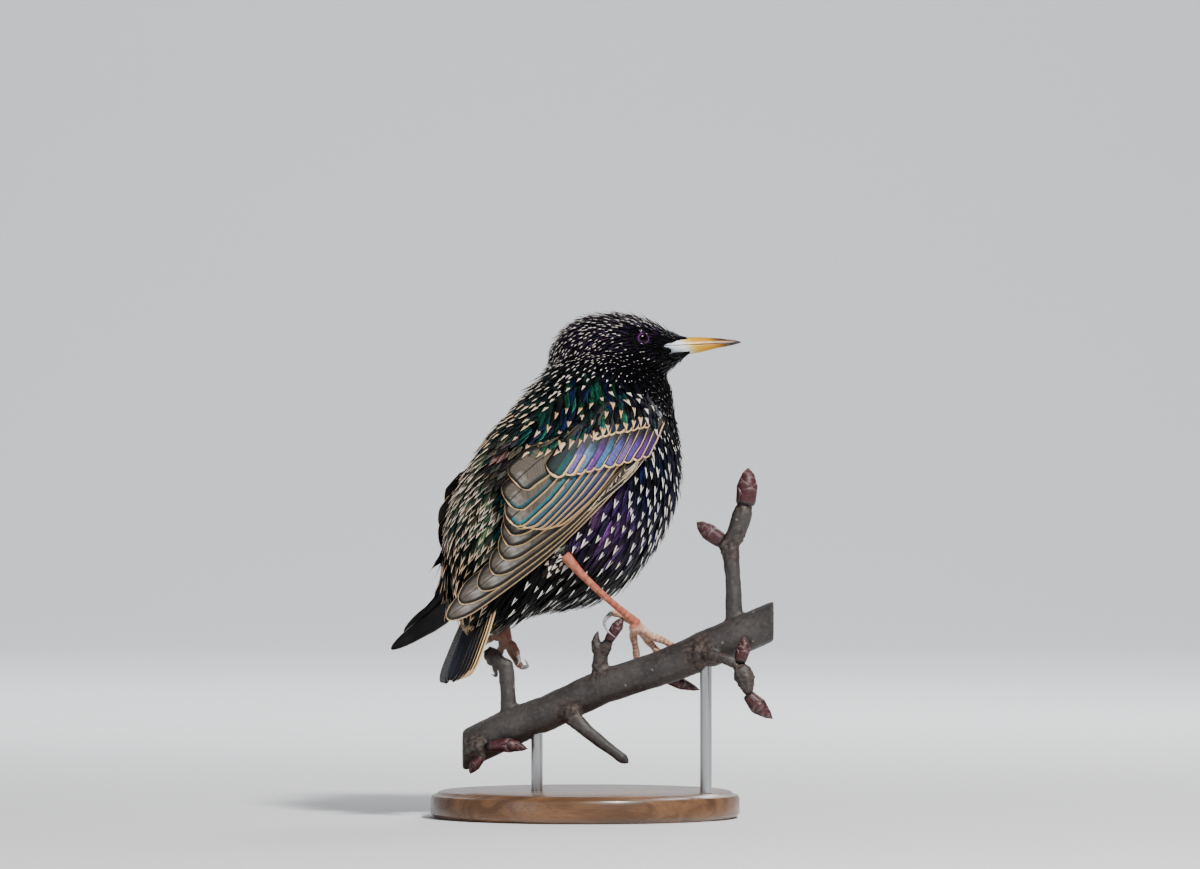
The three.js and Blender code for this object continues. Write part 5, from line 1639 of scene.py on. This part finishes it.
buds = {
    "foot": ([[9.3, -17, 67.4], [12.1, -17.1, 71.9], [14.2, -17.2, 75.2]], [1.7, 2.1, 0.3]),
    "shoot_side": ([[50, -26, 104.4], [45.8, -26, 107.4], [41.6, -26, 110.8]], [2.8, 3.1, 0.9]),
    "shoot_top": ([[59.8, -26, 118.6], [60.4, -26, 124.4], [60.8, -26, 130.9]], [3.6, 3.8, 1.2]),
    "side_upper": ([[57.8, -36.2, 60.6], [58.8, -36.4, 64], [59.3, -36.4, 68.4]], [2.2, 2.5, 0.7]),
    "side_lower": ([[61.3, -36, 46], [64.4, -36.2, 42.6], [69.6, -36.4, 38]], [2.2, 3.2, 0.5]),
    "far": ([[30.5, -15.5, 52.2], [36, -13.5, 50.4], [42.8, -13.5, 48]], [1.6, 2.2, 0.4]),
    "low_right": ([[-35.5, -10.8, 26.8], [-28, -11, 27.2], [-21.4, -11, 25.9]], [1.7, 2.6, 0.5]),
    "low_left": ([[-39.4, -10, 21.8], [-41.4, -10.2, 19.4], [-43, -10.3, 16.6]], [1.5, 1.9, 0.4]),
}
budScales = {"rows": 5, "each": 3, "wide": 1.35, "lift": 0.22, "thick": 0.25, "long": 0.46, "inside": 1.7,
             "points": 41}


def budLook():
    made, tree, shader = newMaterial("budScales", Roughness=0.48)
    across, along, _ = split(put(tree, "UVMap", uv_map="vane"))
    side = abs(across * 2.0 - 1.0)
    place = objectCoords(tree)
    cloud = noiseOf(place, 800.0, 4.0, 0.6)
    red = mixed(stretch(cloud, 0.35, 0.65), rgb(0.02, 0.004, 0.006), rgb(0.075, 0.012, 0.016))
    edge = stretch(maths("MAXIMUM", side, along), 0.72, 0.95)
    colour = mixed(edge * 0.55, red, rgb(0.2, 0.15, 0.14))
    colour = mixed(stretch(along, 0.35, 0.0), colour, rgb(0.035, 0.022, 0.022))
    feed(shader.inputs["Base Color"], colour)
    bump(shader, cloud, 0.4, 0.0002)
    return made


def budPiece(name, path, radii, material):
    coat = Coat("bud_" + name)
    start, second = np.array(path[0], float), np.array(path[1], float)
    inside = start - unit(second - start) * budScales["inside"]
    line = throughPoints([inside, *path[1:]], budScales["points"])
    ahead = unit(np.gradient(line, axis=0))
    size = np.interp(np.linspace(0, 1, len(line)), [0, 0.06, 0.5, 0.85, 1],
                     [radii[0] * 0.8, radii[0], radii[1], blend(radii[1], radii[2], 0.62), radii[2] * 0.3])
    first = unit(np.cross(ahead[0], [0.2, 0.9, 0.3]))
    local = np.random.default_rng(len(name))

    def around(t, angle, grow):
        spot = np.clip(t * (len(line) - 1), 0, len(line) - 1.001)
        at = spot.astype(int)
        part = (spot - at)[..., None]
        centre = line[at] * (1 - part) + line[at + 1] * part
        axis = ahead[at]
        side = unit(first - axis * (axis @ first)[..., None])
        other = np.cross(axis, side)
        radius = size[at] * (1 - part[..., 0]) + size[at + 1] * part[..., 0] + grow
        out = side * np.cos(angle)[..., None] + other * np.sin(angle)[..., None]
        return centre + out * radius[..., None]

    for row in range(budScales["rows"]):
        for k in range(budScales["each"]):
            start = 0.02 + 0.15 * row + local.uniform(-0.02, 0.02)
            end = min(1.0, start + budScales["long"])
            middle = (k + 0.5 * (row % 2)) / budScales["each"] * 2 * math.pi + local.uniform(-0.1, 0.1)
            v, u = np.meshgrid(np.linspace(0, 1, 8), np.linspace(-1, 1, 7), indexing="ij")
            half = budScales["wide"] * np.sqrt(np.clip(1 - np.clip((v - 0.35) / 0.65, 0, 1) ** 2, 0.003, 1))
            t = start + (end - start) * v
            grow = budScales["lift"] * (0.5 + 0.5 * v) * (1 - 0.5 * u**2) - 0.05 * row
            top, low = (around(t, middle + u * half, grow - down) for down in (0, budScales["thick"]))
            coat.add(top, low, black, [0, 0, 0.5], [0, 0], [0.1 + 0.15 * row, 0.2 * k + 0.2], 0.1)
    v, u = np.meshgrid(np.linspace(0, 1, 12), np.linspace(-math.pi, math.pi, 13), indexing="ij")
    coat.add(around(v, u, -0.12), around(v, u, -0.9), black, [0, 0, 0.5], [0, 0], [0.5, 0.9], 0.1)
    coat.piece(material, "buds", ["perch_bud_" + name])


budMaterial = budLook()
for budName, (path, radii) in buds.items():
    budPiece(budName, path, radii, budMaterial)
print("perch made")

# stand
stand = {"radius": 58, "thick": 10, "chamfer": 1.5, "steps": 128, "rod": 2.2, "rodSides": 40,
         "rods": ["Left", "Right"]}


def woodLook():
    made, tree, shader = newMaterial("turnedWood", Roughness=0.35, Coat_Weight=0.35, Coat_Roughness=0.2)
    place = objectCoords(tree, (1.0, 9.0, 9.0))
    grain = noiseOf(place, 14.0, 6.0, 0.6, Distortion=0.6)
    fine = noiseOf(objectCoords(tree, (1.0, 30.0, 30.0)), 60.0, 3.0)
    colour = mixed(stretch(grain, 0.35, 0.65), rgb(0.09, 0.042, 0.02), rgb(0.2, 0.1, 0.048))
    colour = mixed(stretch(fine, 0.5, 0.7) * 0.4, colour, rgb(0.05, 0.022, 0.012))
    feed(shader.inputs["Base Color"], colour)
    feed(shader.inputs["Roughness"], fine * 0.15 + 0.28)
    bump(shader, fine, 0.12, 0.0002)
    return made


def steelLook():
    made, tree, shader = newMaterial("brushedSteel", Metallic=1.0)
    fine = noiseOf(objectCoords(tree, (1.0, 1.0, 40.0)), 500.0, 3.0)
    feed(shader.inputs["Roughness"], fine * 0.2 + 0.22)
    feed(shader.inputs["Base Color"], mixed(fine, rgb(0.5, 0.51, 0.52), rgb(0.62, 0.63, 0.64)))
    bump(shader, fine, 0.1, 5e-05)
    return made


def flatEnds(piece, degrees):
    piece.modifiers.new("flats", "EDGE_SPLIT").split_angle = math.radians(degrees)


def standPieces():
    radius, thick, chamfer = stand["radius"] * mm, stand["thick"] * mm, stand["chamfer"] * mm
    shape = bmesh.new()
    profile = [(0, 0), (radius - chamfer, 0), (radius, chamfer), (radius, thick - 2 * chamfer),
               (radius - 0.4 * chamfer, thick - 1.15 * chamfer),
               (radius - chamfer, thick - chamfer), (radius - 1.6 * chamfer, thick - 0.75 * chamfer),
               (radius - 2.2 * chamfer, thick - 0.2 * chamfer),
               (radius - 3 * chamfer, thick), (0, thick)]
    verts = [shape.verts.new((x, 0, z)) for x, z in profile]
    edges = [shape.edges.new(pair) for pair in zip(verts[:-1], verts[1:])]
    bmesh.ops.spin(shape, geom=verts + edges, axis=(0, 0, 1), cent=(0, 0, 0), angle=2 * math.pi,
                   steps=stand["steps"], use_merge=True)
    bmesh.ops.remove_doubles(shape, verts=shape.verts, dist=1e-6)
    mesh = finished(shape, "standBaseTurned")
    flatEnds(newObject("standBaseTurned", mesh, woodLook(), ["stand_base"]), 28)
    steel = steelLook()
    for name in stand["rods"]:
        low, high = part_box("stand_rod_" + name.lower())
        shape = bmesh.new()
        bmesh.ops.create_cone(shape, cap_ends=True, segments=stand["rodSides"], radius1=stand["rod"] * mm,
                              radius2=stand["rod"] * mm, depth=high.z - low.z)
        bmesh.ops.translate(shape, verts=shape.verts, vec=(low + high) / 2)
        rod = finished(shape, "rod" + name, False)
        flatEnds(newObject("rod" + name, rod, steel, ["stand_rod_" + name.lower()]), 40)


standPieces()
print("stand made")

# floor, backdrop and light
studio = {"wide": 5, "deep": 4.2, "front": 1.6, "high": 3.6, "bend": 1.7, "sky": rgb(0.82, 0.88, 1.0),
          "skyLight": 0.16}
aim = (0, 0, 0.12)


def backdrop():
    shape = bmesh.new()
    deep, bend = studio["deep"], studio["bend"]
    line = [(deep - bend * (1 - math.sin(a)), bend * (1 - math.cos(a)))
            for a in np.linspace(0, math.pi / 2, 12)]
    line = [(-deep - studio["front"], 0), *line, (deep, studio["high"])]
    verts = [shape.verts.new((-studio["wide"], y, z - 0.0002)) for y, z in line]
    edges = [shape.edges.new(pair) for pair in zip(verts[:-1], verts[1:])]
    swept = bmesh.ops.extrude_edge_only(shape, edges=edges)
    bmesh.ops.translate(shape, verts=[v for v in swept["geom"] if isinstance(v, bmesh.types.BMVert)],
                        vec=(2 * studio["wide"], 0, 0))
    mesh = finished(shape, "backdrop", False)
    piece = bpy.data.objects.new("backdrop", mesh)
    scene.collection.objects.link(piece)
    mesh.materials.append(newMaterial("paper", Roughness=0.9, Base_Color=rgb(0.8, 0.81, 0.82))[0])


def lamp(name, place, target, power, size, colour=(1, 1, 1)):
    data = bpy.data.lights.new(name, "AREA")
    data.energy, data.size, data.color = power, size, colour
    item = bpy.data.objects.new(name, data)
    item.location = place
    item.visible_camera = False
    item.rotation_euler = (Vector(target) - Vector(place)).to_track_quat("-Z", "Y").to_euler()
    scene.collection.objects.link(item)


backdrop()
lamp("key", (0.55, -1.0, 1.2), aim, 38, 0.22, (1.0, 0.98, 0.95))
lamp("fill", (-1.3, -1.2, 0.7), aim, 3.5, 0.8, (0.92, 0.96, 1.0))
lamp("rim", (0.5, 1.1, 0.9), aim, 6, 0.4)
lamp("wall", (0, 1.3, 1.8), (0, 3.2, 0.2), 70, 2.0, (0.97, 0.98, 1.0))
world = bpy.data.worlds.new("studio")
world.use_nodes = True
for socket, value in zip(world.node_tree.nodes["Background"].inputs, (studio["sky"], studio["skyLight"])):
    socket.default_value = value
scene.world = world
